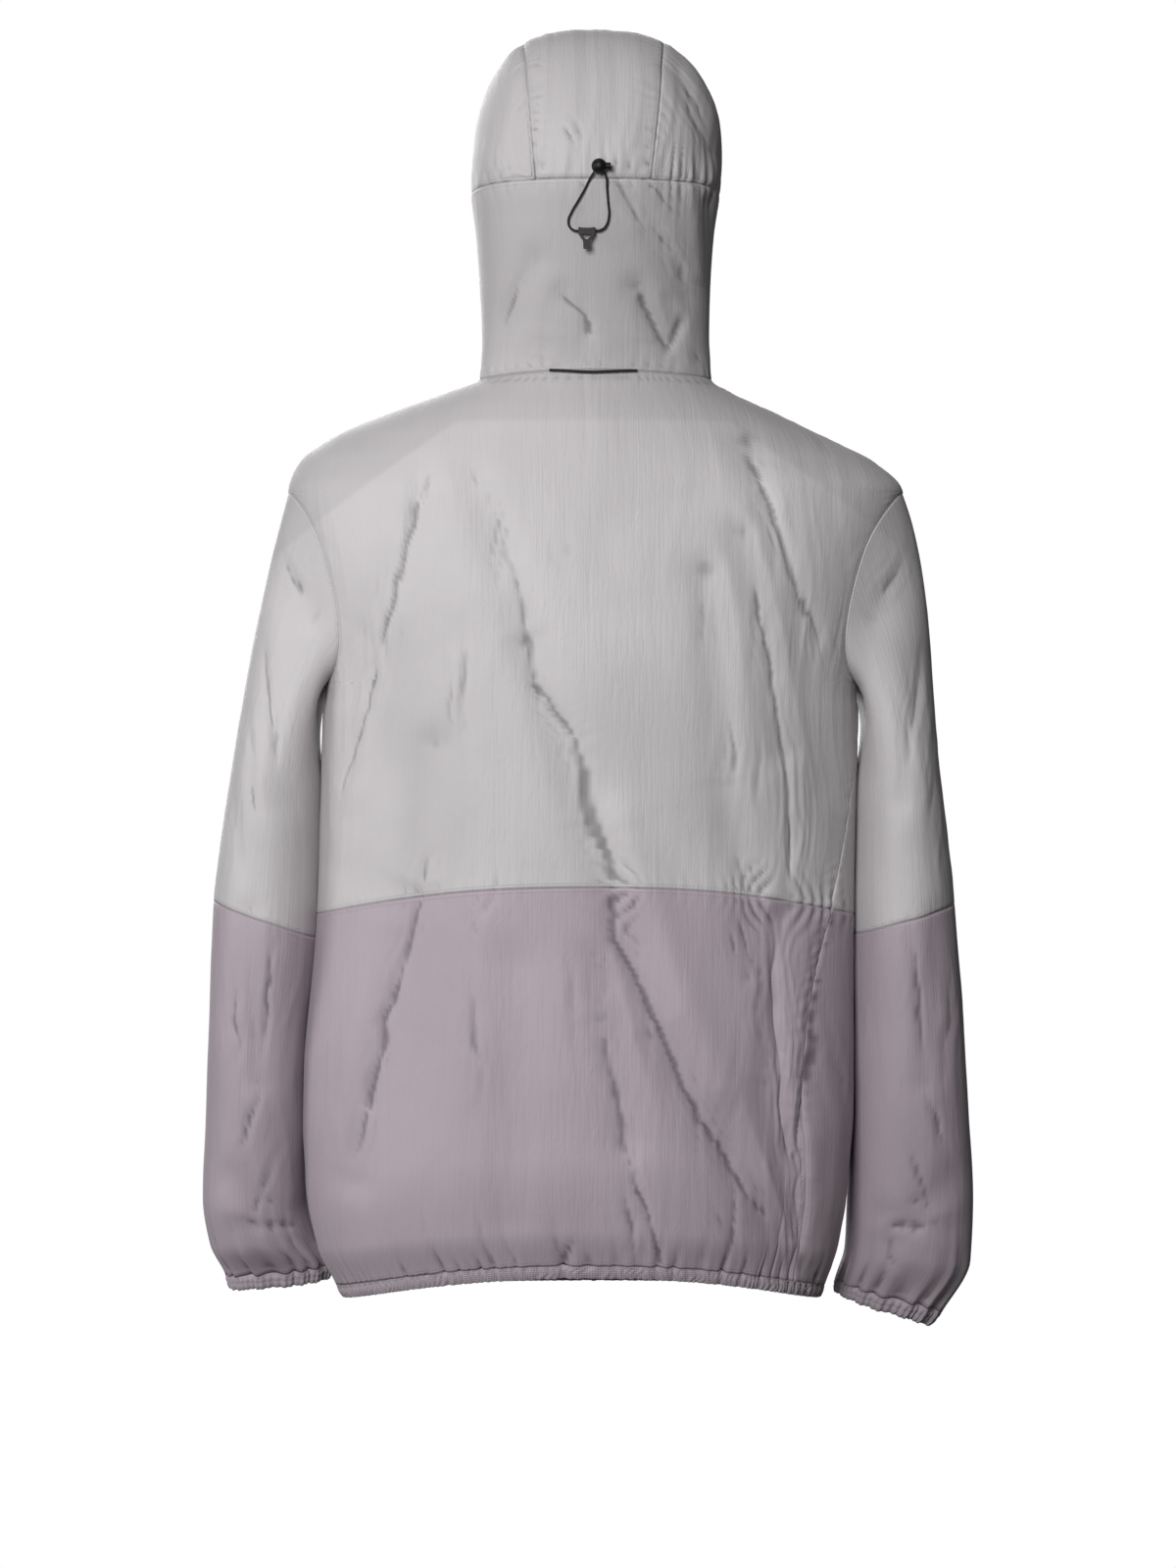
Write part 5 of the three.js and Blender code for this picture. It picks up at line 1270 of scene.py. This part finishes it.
@dataclass
class TorsoCloth:
    """The back, the two fronts and the elastic hem."""

    wardrobe: Wardrobe
    step: float = 2.5
    per_row: int = 5
    back_columns: int = 270
    front_columns: int = 70

    def panel(
        self, name: str, levels: Field, left: Field, right: Field, columns: int, edges: Sequence[float]
    ) -> Patch:
        """Lays a panel between two edges, on a weave whose warp runs straight down the body.

        Args:
            name: The piece's name.
            levels: Levels of its rows.
            left: Body angle of its first column in each row.
            right: Body angle of its last column in each row.
            columns: Number of steps across.
            edges: Height of the puckers along the first and the last column.

        Returns:
            The panel's cloth.
        """
        angle = self.column_angles(left, right, columns)
        level = levels[:, None] + 0 * angle
        p, n = body_cloth(angle, level)
        run = girth(angle, level)
        height = np.zeros_like(angle)
        for pucker, edge in zip(edges, (run[:, :1], run[:, -1:])):
            if pucker:
                away = np.abs(run - edge)
                height = height + seam_pucker(away, level, Seed.SIDE_SEAM, 5 + 4 * pucker, pucker)
        calm = self.armhole_calm(angle, level)
        base = body_form(angle, level)
        x, behind = base[..., 0], base[..., 1] > 0
        busy = np.maximum(smoothstep(-90, -120, x), np.exp(-(((x + 22) / 16) ** 2))) * behind
        away = np.abs(level - COLOUR_SEAM)
        height = height + seam_pucker(away, run, Seed.COLOUR_SEAM, 6.0 + 8.0 * busy, 0.4 + 1.1 * busy)
        height = height + seam_pucker(np.abs(level - NECK_SEAM), run, Seed.NECK_SEAM, 6.0, 0.45)
        grid = base + (p - base + n * height[..., None]) * calm[..., None]
        return Patch(name, grid, grain=stack(run, level, 0 * level))

    @staticmethod
    def column_angles(left: Field, right: Field, columns: int) -> Field:
        """Angles of a panel's columns, which run straight down but near an edge that turns."""
        share = np.linspace(0, 1, columns + 1)[None, :]
        first = np.where(np.abs(left) < 60, 0.0, 180.0)[:, None]
        last = np.where(np.abs(right) < 60, 0.0, right)[:, None]
        span = np.abs(last - first)
        turned = (left[:, None] - first) * np.maximum(0, 1 - span * share / TURNING)
        turned = turned + (right[:, None] - last) * np.maximum(0, 1 - span * (1 - share) / TURNING)
        return first + (last - first) * share + turned

    @staticmethod
    def armhole_calm(angle: Field, level: Field) -> Field:
        """Nothing on the armhole and all of it a little way inside the panel."""
        calm = np.ones_like(angle)
        for side in (1, -1):
            lean = np.abs(((angle if side > 0 else 180 - angle) + 180) % 360 - 180)
            edge = side_edge(side, level, True)
            inside = np.maximum(0, lean - edge) * 3.6
            ends = np.maximum(0, np.maximum(level - ARMHOLE_TOP, ARMPIT - level)) * 2 + lean * 1.5
            away = np.where((level >= ARMPIT) & (level <= ARMHOLE_TOP), inside, ends)
            calm = calm * smoothstep(0, 14, away)
        return calm

    def build(self) -> None:
        """Builds the panels and the hem."""
        low = run_between(HEM_TOP, -696, COLOUR_SEAM, step=self.step)
        shoulder = run_between(ARMHOLE_TOP, NECK_SEAM, step=2.6)[1:]
        high = np.concatenate(
            [run_between(COLOUR_SEAM, ARMPIT, step=self.step)[:-1], armhole_levels(self.per_row), shoulder]
        )
        for part, levels, slot in (("upper", high, Slot.UPPER), ("lower", low, Slot.LOWER)):
            right = body_angle(-1, side_edge(-1, levels, True))
            left = body_angle(1, side_edge(1, levels, True))
            patch = self.panel("back_panel_" + part, levels, right, left, self.back_columns, (0.7, 0.5))
            self.wardrobe.lay(patch, slot, "back_" + part)
            for side, name in SIDES:
                outer = body_angle(side, -side_edge(side, levels, False))
                inner = zip_angle(side, FRONT_EDGE, levels)
                edges = (0.5 if side > 0 else 0.7, 0.0)
                piece = f"front_panel_{part}_{name}"
                patch = self.panel(piece, levels, outer, inner, self.front_columns, edges)
                self.wardrobe.lay(patch, slot, f"front_{part}_{name}")
        self.build_hem()

    def build_hem(self) -> None:
        """Builds the elastic hem, ribbed by its gathers."""
        start, stop = zip_angle(-1, TAPE_HALF, HEM_BOTTOM), zip_angle(1, TAPE_HALF, HEM_BOTTOM)
        angle = np.linspace(start, stop, 1101)[None, :]
        share = np.linspace(0, 1, 12)[:, None]
        level = HEM_TOP + (HEM_BOTTOM - HEM_TOP) * share + 0 * angle
        angle = angle + 0 * share
        base, n = body_form(angle, level), facing(body_form, angle, level)
        turn = angle / 360
        shift = 0.8 * lattice_noise(70 * turn, share * 2 + 0 * turn, Seed.HEM_RIBS)
        ribs = np.cos(2 * math.pi * (HEM_RIBS * turn + shift))
        plump = 0.8 * np.sin(math.pi * share)
        fade = smoothstep(0.0, 0.25, share)
        height = hem_gathers(angle, level) * (1 - 0.6 * fade) + (0.5 * ribs + plump) * fade
        calm = smoothstep(2, 16, np.abs(base[..., 0])) * (base[..., 1] < 0) + (base[..., 1] >= 0)
        grid = base + n * (height * calm)[..., None]
        patch = Patch("hem_elastic", grid, thickness=BAND_THICKNESS)
        self.wardrobe.lay(patch, Slot.BAND, "hem_band", "gathered")


@dataclass
class SleeveCloth:
    """One sleeve with its cuff.

    Attributes:
        wardrobe: Where its finishes come from.
        side: 1 for the wearer's left, -1 for the right.
        columns: Number of steps round it.
        step: Distance between its rows, in millimetres.
        cap_row: The same on the cap, taken as even.
        cap_length: Length of the cap.
        lap: Millimetres round the sleeve for each degree.
        radius: Its radius where the wrinkles are laid out.
    """

    wardrobe: Wardrobe
    side: int
    columns: int = 124
    step: float = 3.4
    cap_row: float = 2.8
    cap_length: float = 190.0
    lap: float = 1.1
    radius: float = 62.0

    @property
    def name(self) -> str:
        """The side's name."""
        return "left" if self.side > 0 else "right"

    def cuff_levels(self) -> tuple[float, float]:
        """Levels of the cuff's lower and upper edge."""
        table = LEFT_SLEEVE if self.side > 0 else RIGHT_SLEEVE
        return table[-1][0], table[-2][0]

    def cuff_gathers(self, angle: Field, level: Field) -> Field:
        """Height of the gathers above the cuff."""
        _, top = self.cuff_levels()
        turn = angle / 360
        c, s = np.cos(2 * math.pi * turn), np.sin(2 * math.pi * turn)
        phase = CUFF_GATHERS * turn
        phase = phase + 0.35 * lattice_noise(4 * c + 9, 4 * s + 9, Seed.CUFF_SPACING + self.side)
        reach = 24 + 10 * lattice_noise(3 * c + 5, 3 * s + 5, Seed.CUFF_REACH + self.side)
        return 2.3 * np.cos(2 * math.pi * phase) * np.exp(-np.maximum(0, level - top) / reach)

    def wrinkle(self, base: Field, angle: Field, run: Field) -> Field:
        """Adds folds and wrinkles to a sleeve's form.

        Args:
            base: The form's grid of points.
            angle: The sleeve's angle at each point.
            run: Distance of each row down the sleeve.

        Returns:
            Height over the form.
        """
        c, s = np.cos(np.radians(angle)), np.sin(np.radians(angle))
        out, back, seed = self.radius * c, self.radius * s, Seed.SLEEVE + 3 * self.side
        wrinkles = crumple(out + 300, run + 0.4 * back, seed) * 0.5
        wrinkles = wrinkles + crumple(back + 700, run - 0.3 * out, seed + 9) * 0.5
        depth, near = fold_depth(Layer.SLEEVE, np.abs(base[..., 0]), base[..., 2])
        below_arm = smoothstep(ARMPIT + 10, ARMPIT - 20, base[..., 2]) * smoothstep(-650, -590, base[..., 2])
        swell = SIDE_SWELL * np.maximum(0, -c) ** 6 * below_arm
        return wrinkles * (0.6 + 0.8 * near) - 1.3 * depth * np.abs(s) + swell

    def normals(self, grid: Field) -> Field:
        """Outward directions of a ring grid whose last column repeats the first."""
        ring = grid[:, :-1]
        across = np.roll(ring, -1, axis=1) - np.roll(ring, 1, axis=1)
        down = np.gradient(ring, axis=0)
        n = unit(np.cross(down, across)) * self.side
        return np.concatenate([n, n[:, :1]], axis=1)

    def build(self) -> None:
        """Builds the two cloth parts and the cuff."""
        angle = np.linspace(-180, 180, self.columns + 1)[None, :]
        shares = np.linspace(0, 1, 70)[:, None]
        cap = cap_form(self.side, angle + 0 * shares, shares + 0 * angle)
        mid = run_between(SLEEVE_TOP, SLEEVE_SEAM, step=self.step)[1:][:, None]
        base = np.concatenate([cap, sleeve_form(self.side, angle + 0 * mid, mid + 0 * angle)])
        turned = np.broadcast_to(angle, base.shape[:2])
        cap_run = SLEEVE_TOP + (1 - shares[:, 0]) * self.cap_length
        run = np.concatenate([cap_run, mid[:, 0]])[:, None] + 0 * turned
        from_armhole = np.arange(len(base))[:, None] * self.cap_row
        height = self.wrinkle(base, turned, run) * smoothstep(0, 12, from_armhole)
        self.lay("upper", base, height, turned, run, smoothstep(0, 5, from_armhole), Slot.UPPER)
        low, top = self.cuff_levels()
        levels = run_between(SLEEVE_SEAM, top + 40, top, step=self.step)[:, None]
        turned = angle + 0 * levels
        run = levels + 0 * angle
        base = sleeve_form(self.side, turned, run)
        height = self.wrinkle(base, turned, run)
        height = height * (1 - 0.6 * smoothstep(top + 20, top, run)) + self.cuff_gathers(turned, run)
        self.lay("lower", base, height, turned, run, 1.0, Slot.LOWER)
        self.build_cuff(low, top)

    def lay(
        self, part: str, base: Field, height: Field, angle: Field, run: Field, calm: Field | float, slot: Slot
    ) -> None:
        """Lays one of the sleeve's cloth parts.

        Args:
            part: The part's name.
            base: The form's grid of points.
            height: Height of the folds and wrinkles over it.
            angle: The sleeve's angle at each point.
            run: Distance of each row down the sleeve.
            calm: How much of the relief is kept.
            slot: The part's finish.
        """
        lap = angle * self.lap
        height = height + seam_pucker(np.abs(run - SLEEVE_SEAM), lap, Seed.NECK_SEAM, 6.0, 0.45)
        grid = base + self.normals(base) * (height * calm)[..., None]
        patch = Patch(f"sleeve_cloth_{part}_{self.name}", grid, ring=True, grain=stack(lap, run, 0 * run))
        self.wardrobe.lay(patch, slot, f"sleeve_{part}_{self.name}")

    def build_cuff(self, low: float, top: float) -> None:
        """Builds the elastic cuff, ribbed by its gathers."""
        angle = np.linspace(-180, 180, 361)[None, :]
        share = np.linspace(0, 1, 12)[:, None]
        level = top + (low - top) * share + 0 * angle
        turned = angle + 0 * share
        base = sleeve_form(self.side, turned, level)
        fade = smoothstep(0.0, 0.25, share)
        ribs = np.cos(2 * math.pi * CUFF_RIBS * turned / 360)
        plump = 1.4 * np.sin(math.pi * share) ** 0.7 - 0.6 * np.exp(-(((share - 0.5) / 0.12) ** 2))
        height = self.cuff_gathers(turned, level) * (1 - 0.5 * fade) + (0.7 * ribs + plump) * fade
        grid = base + self.normals(base) * height[..., None]
        patch = Patch("cuff_elastic_" + self.name, grid, ring=True, thickness=BAND_THICKNESS)
        self.wardrobe.lay(patch, Slot.BAND, "cuff_" + self.name, "gathered")


@dataclass
class HoodCloth:
    """The hood: its lower panel, the crown's three panels and the binding of its face opening."""

    wardrobe: Wardrobe

    def corner_angles(self) -> tuple[float, float]:
        """Body angles of the crown's panel corners on the channel, right then left."""
        right = float(back_angle(np.array([-MIDDLE_PANEL_LOW]), np.array([CHANNEL]))[0])
        left = float(back_angle(np.array([MIDDLE_PANEL_LOW]), np.array([CHANNEL]))[0])
        return right, left

    def build(self) -> None:
        """Builds the hood's cloth."""
        self.build_lower()
        self.build_middle()
        for side, name in SIDES:
            grid = self.side_grid(side, np.linspace(0, 1, 111), np.linspace(0, 1, 40))
            self.wardrobe.lay(Patch("hood_side_cloth_" + name, grid), Slot.UPPER, "hood_side_" + name)
        self.build_binding()

    def build_lower(self) -> None:
        """Builds the panel from the neck seam to the channel, which is also the collar."""
        levels = run_between(NECK_SEAM, CHIN, 64, 70, 79, 92, CHANNEL, step=2.6)
        closed = levels <= CHIN
        right = np.where(closed, zip_angle(-1, FRONT_EDGE, levels), 270 - FACE(levels) - FACE_BINDING)
        left = np.where(closed, zip_angle(1, FRONT_EDGE, levels), -90 + FACE(levels) + FACE_BINDING)
        share = np.linspace(0, 1, 201)[None, :]
        angle = right[:, None] + (left - right)[:, None] * share
        level = levels[:, None] + 0 * angle
        p, n = body_cloth(angle, level)
        run = girth(angle, level)
        height = seam_pucker(level - NECK_SEAM, run, Seed.COLLAR, 7.0, 0.7)
        height = height + seam_pucker(CHANNEL - level, run, Seed.CHANNEL, 5.0, 0.5)
        grid = p + n * height[..., None]
        weave = stack(run, level, 0 * run)
        self.wardrobe.lay(Patch("hood_lower_cloth", grid, grain=weave), Slot.UPPER, "hood_lower")

    def build_middle(self) -> None:
        """Builds the crown's middle panel, from the channel over the top to the forehead."""
        angle = np.linspace(0, FOREHEAD, 130)[:, None]
        share = np.linspace(-1, 1, 46)[None, :]
        base = crown_from_angle(middle_half(angle) * share, angle + 0 * share)
        seam = body_form(back_angle(base[:1, :, 0], np.full((1, 46), CHANNEL)), np.full((1, 46), CHANNEL))
        base = base + (seam - base[:1]) * np.exp(-angle / 9)[..., None]
        p, n = crown_cloth(base)
        run = angle * 2.1 + 0 * share
        edge = (1 - np.abs(share)) * middle_half(angle)
        height = seam_pucker(edge, run, Seed.CROWN_SEAM, 8.0, 0.8)
        height = height + seam_pucker(base[..., 2] - CHANNEL + 0 * edge, base[..., 0], Seed.CHANNEL)
        grid = p + n * height[..., None]
        self.wardrobe.lay(Patch("hood_middle_cloth", grid), Slot.UPPER, "hood_middle")

    def side_grid(self, side: int, across: Field, up: Field, forward: Field | None = None) -> Field:
        """Grid of one of the crown's side panels, or of its binding.

        Args:
            side: 1 for the wearer's left, -1 for the right.
            across: Shares from the face to the back.
            up: Shares from the channel to the middle panel's seam.
            forward: How far each column lies ahead of the opening's edge, as a share of the binding.

        Returns:
            Points on the middle of the cloth.
        """
        low, high = self.side_edges(side, across)
        row = up[:, None]
        y = low[None, :, 1] + (high[None, :, 1] - low[None, :, 1]) * row
        z = (high[None, :, 2] - CHANNEL) * row
        if forward is not None:
            corner = np.array([side * MIDDLE_PANEL_HIGH]), np.array([FOREHEAD + FOREHEAD_BINDING])
            lead = crown_from_angle(*corner)[0]
            ahead_y = (low[0, 1] - CHEEK_BINDING) + (lead[1] - low[0, 1] + CHEEK_BINDING) * row
            ahead_z = (lead[2] - CHANNEL) * row
            y = y + (ahead_y - y) * forward[None, :]
            z = z + (ahead_z - z) * forward[None, :]
        base = crown_from_side(side, y, z)
        if forward is None:
            base = base + (low[None] - base[:1]) * np.exp(-9 * row)[..., None]
        p, n = crown_cloth(base)
        if forward is not None:
            return p
        run = across[None, :] * 210 + 0 * row
        away = (1 - row) * 70 + 0 * run
        puckers = seam_pucker(away, run, Seed.CROWN_SEAM, 8.0, 0.8)
        puckers = puckers + seam_pucker(row * 70 + 0 * run, p[..., 0], Seed.CHANNEL)
        return p + n * (puckers * smoothstep(0, 0.06, 1 - across)[None, :])[..., None]

    def side_edges(self, side: int, across: Field) -> tuple[Field, Field]:
        """Lower and upper edge of a crown's side panel, from the face to the back."""
        cheek = 90 - float(FACE(CHANNEL)) - FACE_BINDING
        right, left = self.corner_angles()
        start, stop = (-cheek, left) if side > 0 else (180 + cheek, right)
        low = body_form(start + (stop - start) * across, np.full_like(across, CHANNEL))
        over = FOREHEAD * (1 - across)
        return low, crown_from_angle(side * middle_half(over), over)

    def build_binding(self) -> None:
        """Builds the elastic binding round the face opening, from chin to chin over the forehead."""
        across = np.linspace(0, 1, 7)
        strips = []
        for side in (-1, 1):
            levels = run_between(64, 70, 79, 92, 124, CHANNEL - 3, step=2.4)[:, None]
            lean = FACE(levels) + FACE_BINDING * (1 - across[None, :])
            angle = -90 + lean if side > 0 else 270 - lean
            cheek, _ = body_cloth(angle, levels + 0 * angle)
            crown = self.side_grid(side, np.zeros(7), np.linspace(0, 1, 40), across)
            strips.append(np.concatenate([cheek, crown]))
        x = np.linspace(-1, 1, 50)[1:-1, None] * middle_half(np.array([FOREHEAD]))
        over = FOREHEAD + FOREHEAD_BINDING * across[None, :] + 0 * x
        top, _ = crown_cloth(crown_from_angle(x + 0 * over, over))
        grid = np.concatenate([strips[0], top, strips[1][::-1]])
        middle = np.array([0.0, 0.0, 130.0])
        out = unit(grid - middle)
        along = np.arange(len(grid))[:, None]
        round_over = 0.9 * np.sin(math.pi * across)[None, :] + 0.35 * np.cos(2 * math.pi * along / 3.4)
        grid = grid + out * round_over[..., None]
        patch = Patch("face_binding", grid, thickness=BAND_THICKNESS)
        self.wardrobe.lay(patch, Slot.TAPE, "hood_binding", "gathered")


@dataclass
class FrontZip:
    """The zip: its tapes, the coil teeth and the carried-over slider, pull and box."""

    wardrobe: Wardrobe
    tooth_pitch: float = 1.7
    tooth: tuple[float, float, float] = (3.6, 0.9, 0.95)
    tooth_lift: float = 0.55
    tooth_shift: float = 0.7
    tooth_rounding: float = 0.25
    tape_gap: float = 0.12
    tape_thickness: float = 0.7
    tape_sink: float = 0.9

    def levels(self, step: float) -> Field:
        """Levels along the zip at about even spacing on the cloth."""
        fine = np.linspace(HEM_BOTTOM, CHIN, 4000)
        p = body_form(np.full_like(fine, 270.0), fine)
        run = np.concatenate([[0], np.cumsum(np.linalg.norm(np.diff(p, axis=0), axis=-1))])
        return np.interp(np.linspace(0, run[-1], round(run[-1] / step) + 1), run, fine)

    def build(self) -> None:
        """Builds the tapes and the teeth, and dresses the hard pieces."""
        levels = self.levels(4.0)
        beside = np.linspace(TAPE_HALF, self.tape_gap, 7)
        sunk = self.tape_sink * smoothstep(TAPE_HALF - 3, TAPE_HALF, beside)[None, :, None]
        for side, name in SIDES:
            angle = np.stack([zip_angle(side, b, levels) for b in beside], axis=1)
            base = body_form(angle, levels[:, None] + 0 * angle)
            n = facing(body_form, angle, levels[:, None] + 0 * angle)
            patch = Patch("zip_tape_cloth_" + name, base - n * sunk, thickness=self.tape_thickness)
            self.wardrobe.lay(patch, Slot.TAPE, "zip_tape_" + name)
        self.build_teeth()
        for node in ("zip_slider", "zip_pull", "zip_box"):
            self.wardrobe.dress(bpy.data.objects[node], Slot.PLASTIC)

    def build_teeth(self) -> None:
        """Builds the closed coil: one small rounded bar for each tooth, from alternate sides."""
        levels = self.levels(self.tooth_pitch)
        angle = np.full_like(levels, 270.0)
        p, n = body_form(angle, levels), facing(body_form, angle, levels)
        bm = bmesh.new()
        for k in range(len(levels)):
            made = bmesh.ops.create_cube(bm, size=1.0)["verts"]
            bmesh.ops.scale(bm, vec=[side * MM for side in self.tooth], verts=made)
            at = (p[k] + n[k] * self.tooth_lift) * MM
            shift = self.tooth_shift * MM * (1 if k % 2 else -1)
            bmesh.ops.translate(bm, vec=(at[0] + shift, at[1], at[2]), verts=made)
        obj = mesh_object("zip_teeth", bm, smooth=False)
        bevel = obj.modifiers.new("Rounding", "BEVEL")
        bevel.width, bevel.segments = self.tooth_rounding * MM, 1
        self.wardrobe.dress(obj, Slot.TAPE)
        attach(obj, BODY)


# Cords as seen from behind: x, z and distance off the cloth
CORD_LOOP = (
    (-0.6, 143.3, 4.2),
    (2.8, 138.4, 2.4),
    (6.4, 131.4, 1.9),
    (11.8, 122.4, 1.9),
    (16.7, 114.2, 1.9),
    (18.9, 108.6, 2.0),
    (17.9, 103.8, 2.4),
    (14.6, 101.3, 2.7),
    (11.4, 100.9, 2.7),
    (5.0, 100.9, 2.7),
    (-1.4, 100.9, 2.7),
    (-5.6, 101.4, 2.7),
    (-9.6, 104.2, 2.4),
    (-12.0, 111.2, 2.0),
    (-11.4, 122.5, 1.9),
    (-10.6, 133.0, 1.9),
    (-10.4, 138.2, 2.4),
    (-8.5, 143.3, 4.2),
)
HANGER_LOOP = (
    (33.5, -3.4, 1.9),
    (24, -5.2, 2.5),
    (12, -6.7, 2.7),
    (2, -7.3, 2.8),
    (-10, -6.8, 2.7),
    (-23, -5.6, 2.5),
    (-33.7, -4.2, 1.9),
)


@dataclass
class Cords:
    """The hood's drawcord with its lock and end, and the hanger loop."""

    wardrobe: Wardrobe
    cord_radius: float = 0.9
    hanger_radius: float = 1.1

    @staticmethod
    def off_back(x: float, z: float, out: float) -> Vector:
        """A place outside the cloth as seen from behind, in metres."""
        p, n = cloth_from_behind(x, z)
        return Vector((p + n * (WALL / 2 + out)) * MM)

    def cord(self, name: str, node: str, route: Lines, radius: float) -> None:
        """Builds a cord along a route.

        Args:
            name: The piece's name.
            node: The node that it stands for.
            route: Its points as x, z and distance off the cloth.
            radius: Its radius in millimetres.
        """
        points = [self.off_back(*row) for row in route]
        curve = bpy.data.curves.new(name, "CURVE")
        curve.dimensions = "3D"
        curve.bevel_depth = radius * MM
        curve.bevel_resolution = 4
        curve.resolution_u = 8
        curve.use_fill_caps = True
        spline = curve.splines.new("BEZIER")
        spline.bezier_points.add(len(points) - 1)
        for knot, place in zip(spline.bezier_points, points):
            knot.co = place
            knot.handle_left_type = knot.handle_right_type = "AUTO"
        obj = add_object(name, curve)
        self.wardrobe.dress(obj, Slot.CORD)
        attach(obj, BODY)
        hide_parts(node)

    def build(self) -> None:
        """Builds the cords and dresses the lock, its plunger and the cord end."""
        self.cord("hood_drawcord", "hood_cord", CORD_LOOP, self.cord_radius)
        self.cord("hanger_cord", "hanger_loop", HANGER_LOOP, self.hanger_radius)
        for node in ("cord_lock", "lock_plunger", "cord_end"):
            self.wardrobe.dress(bpy.data.objects[node], Slot.PLASTIC)


# Name, place and size in metres and power in watts of each square light, and the point they are aimed at
LIGHTS = (
    ("key_light", (1.0, 3.72, 0.85), 1.3, 119.0),
    ("side_light", (3.4, 1.0, 0.3), 1.6, 34.0),
    ("top_light", (0.5, 0.9, 2.8), 1.8, 9.0),
    ("front_light", (0.7, -3.4, 0.8), 2.4, 95.0),
)
LIT_POINT = Vector((0.0, 0.0, -0.25))


@dataclass
class Studio:
    """White studio: camera behind the jacket, key light from its left, pale floor and white world."""

    camera_height: float = -0.328
    distance: float = 3.6
    aim_x: float = 0.004
    frame_height: float = 1.248
    sensor_height: float = 36.0
    floor_half: float = 3.0
    world_light: float = 0.07

    def build(self) -> None:
        """Sets up the camera, the lights and the surroundings."""
        self.add_camera()
        for light in LIGHTS:
            self.add_light(*light)
        self.add_surroundings()

    def add_camera(self) -> None:
        """Adds the camera at the photograph's distance and angle."""
        data = bpy.data.cameras.new("camera")
        data.sensor_fit = "VERTICAL"
        data.sensor_height = self.sensor_height
        data.lens = self.sensor_height * self.distance / self.frame_height
        data.clip_end = 50.0
        camera = add_object("camera", data)
        camera.location = (self.aim_x, self.distance, self.camera_height)
        camera.rotation_euler = (math.pi / 2, 0.0, math.pi)
        bpy.context.scene.camera = camera

    @staticmethod
    def add_light(name: str, place: tuple[float, float, float], size: float, power: float) -> None:
        """Adds a square soft light aimed at the jacket's middle."""
        data = bpy.data.lights.new(name, "AREA")
        data.shape = "SQUARE"
        data.size = size
        data.energy = power
        light = add_object(name, data)
        light.location = place
        light.rotation_euler = (LIT_POINT - Vector(place)).to_track_quat("-Z", "Y").to_euler()

    def add_surroundings(self) -> None:
        """Adds the pale floor, and a world that is white to the camera and dim to the cloth."""
        world = bpy.data.worlds.new("studio_world")
        world.use_nodes = True
        nodes, links = world.node_tree.nodes, world.node_tree.links
        dim, white = nodes["Background"], nodes.new("ShaderNodeBackground")
        for node, strength in ((dim, self.world_light), (white, 1.0)):
            node.inputs[0].default_value = (1.0, 1.0, 1.0, 1.0)
            node.inputs[1].default_value = strength
        seen, mix = nodes.new("ShaderNodeLightPath"), nodes.new("ShaderNodeMixShader")
        links.new(seen.outputs["Is Camera Ray"], mix.inputs[0])
        links.new(dim.outputs[0], mix.inputs[1])
        links.new(white.outputs[0], mix.inputs[2])
        links.new(mix.outputs[0], nodes["World Output"].inputs[0])
        bpy.context.scene.world = world
        bpy.context.scene.view_settings.view_transform = "Standard"
        bm = bmesh.new()
        bmesh.ops.create_grid(bm, x_segments=1, y_segments=1, size=self.floor_half)
        bmesh.ops.translate(bm, vec=(0.0, 0.0, FLOOR_LEVEL), verts=bm.verts)
        floor = mesh_object("studio_floor", bm, smooth=False)
        finish = Finish("studio_floor")
        finish.set(Base_Color=(0.9, 0.9, 0.9), Roughness=0.9)
        finish.set(Emission_Color=(1.0, 1.0, 1.0), Emission_Strength=0.5)
        floor.data.materials.append(finish.material)
        floor.visible_diffuse = floor.visible_glossy = False


def main() -> None:
    """Builds the jacket's looks in order."""
    logging.basicConfig(level=logging.INFO, format="%(name)s %(message)s", stream=sys.stdout)
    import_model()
    Studio().build()
    wardrobe = Wardrobe()
    Cords(wardrobe).build()
    TorsoCloth(wardrobe).build()
    for side in (1, -1):
        SleeveCloth(wardrobe, side).build()
    HoodCloth(wardrobe).build()
    FrontZip(wardrobe).build()


if __name__ == "__main__":
    main()
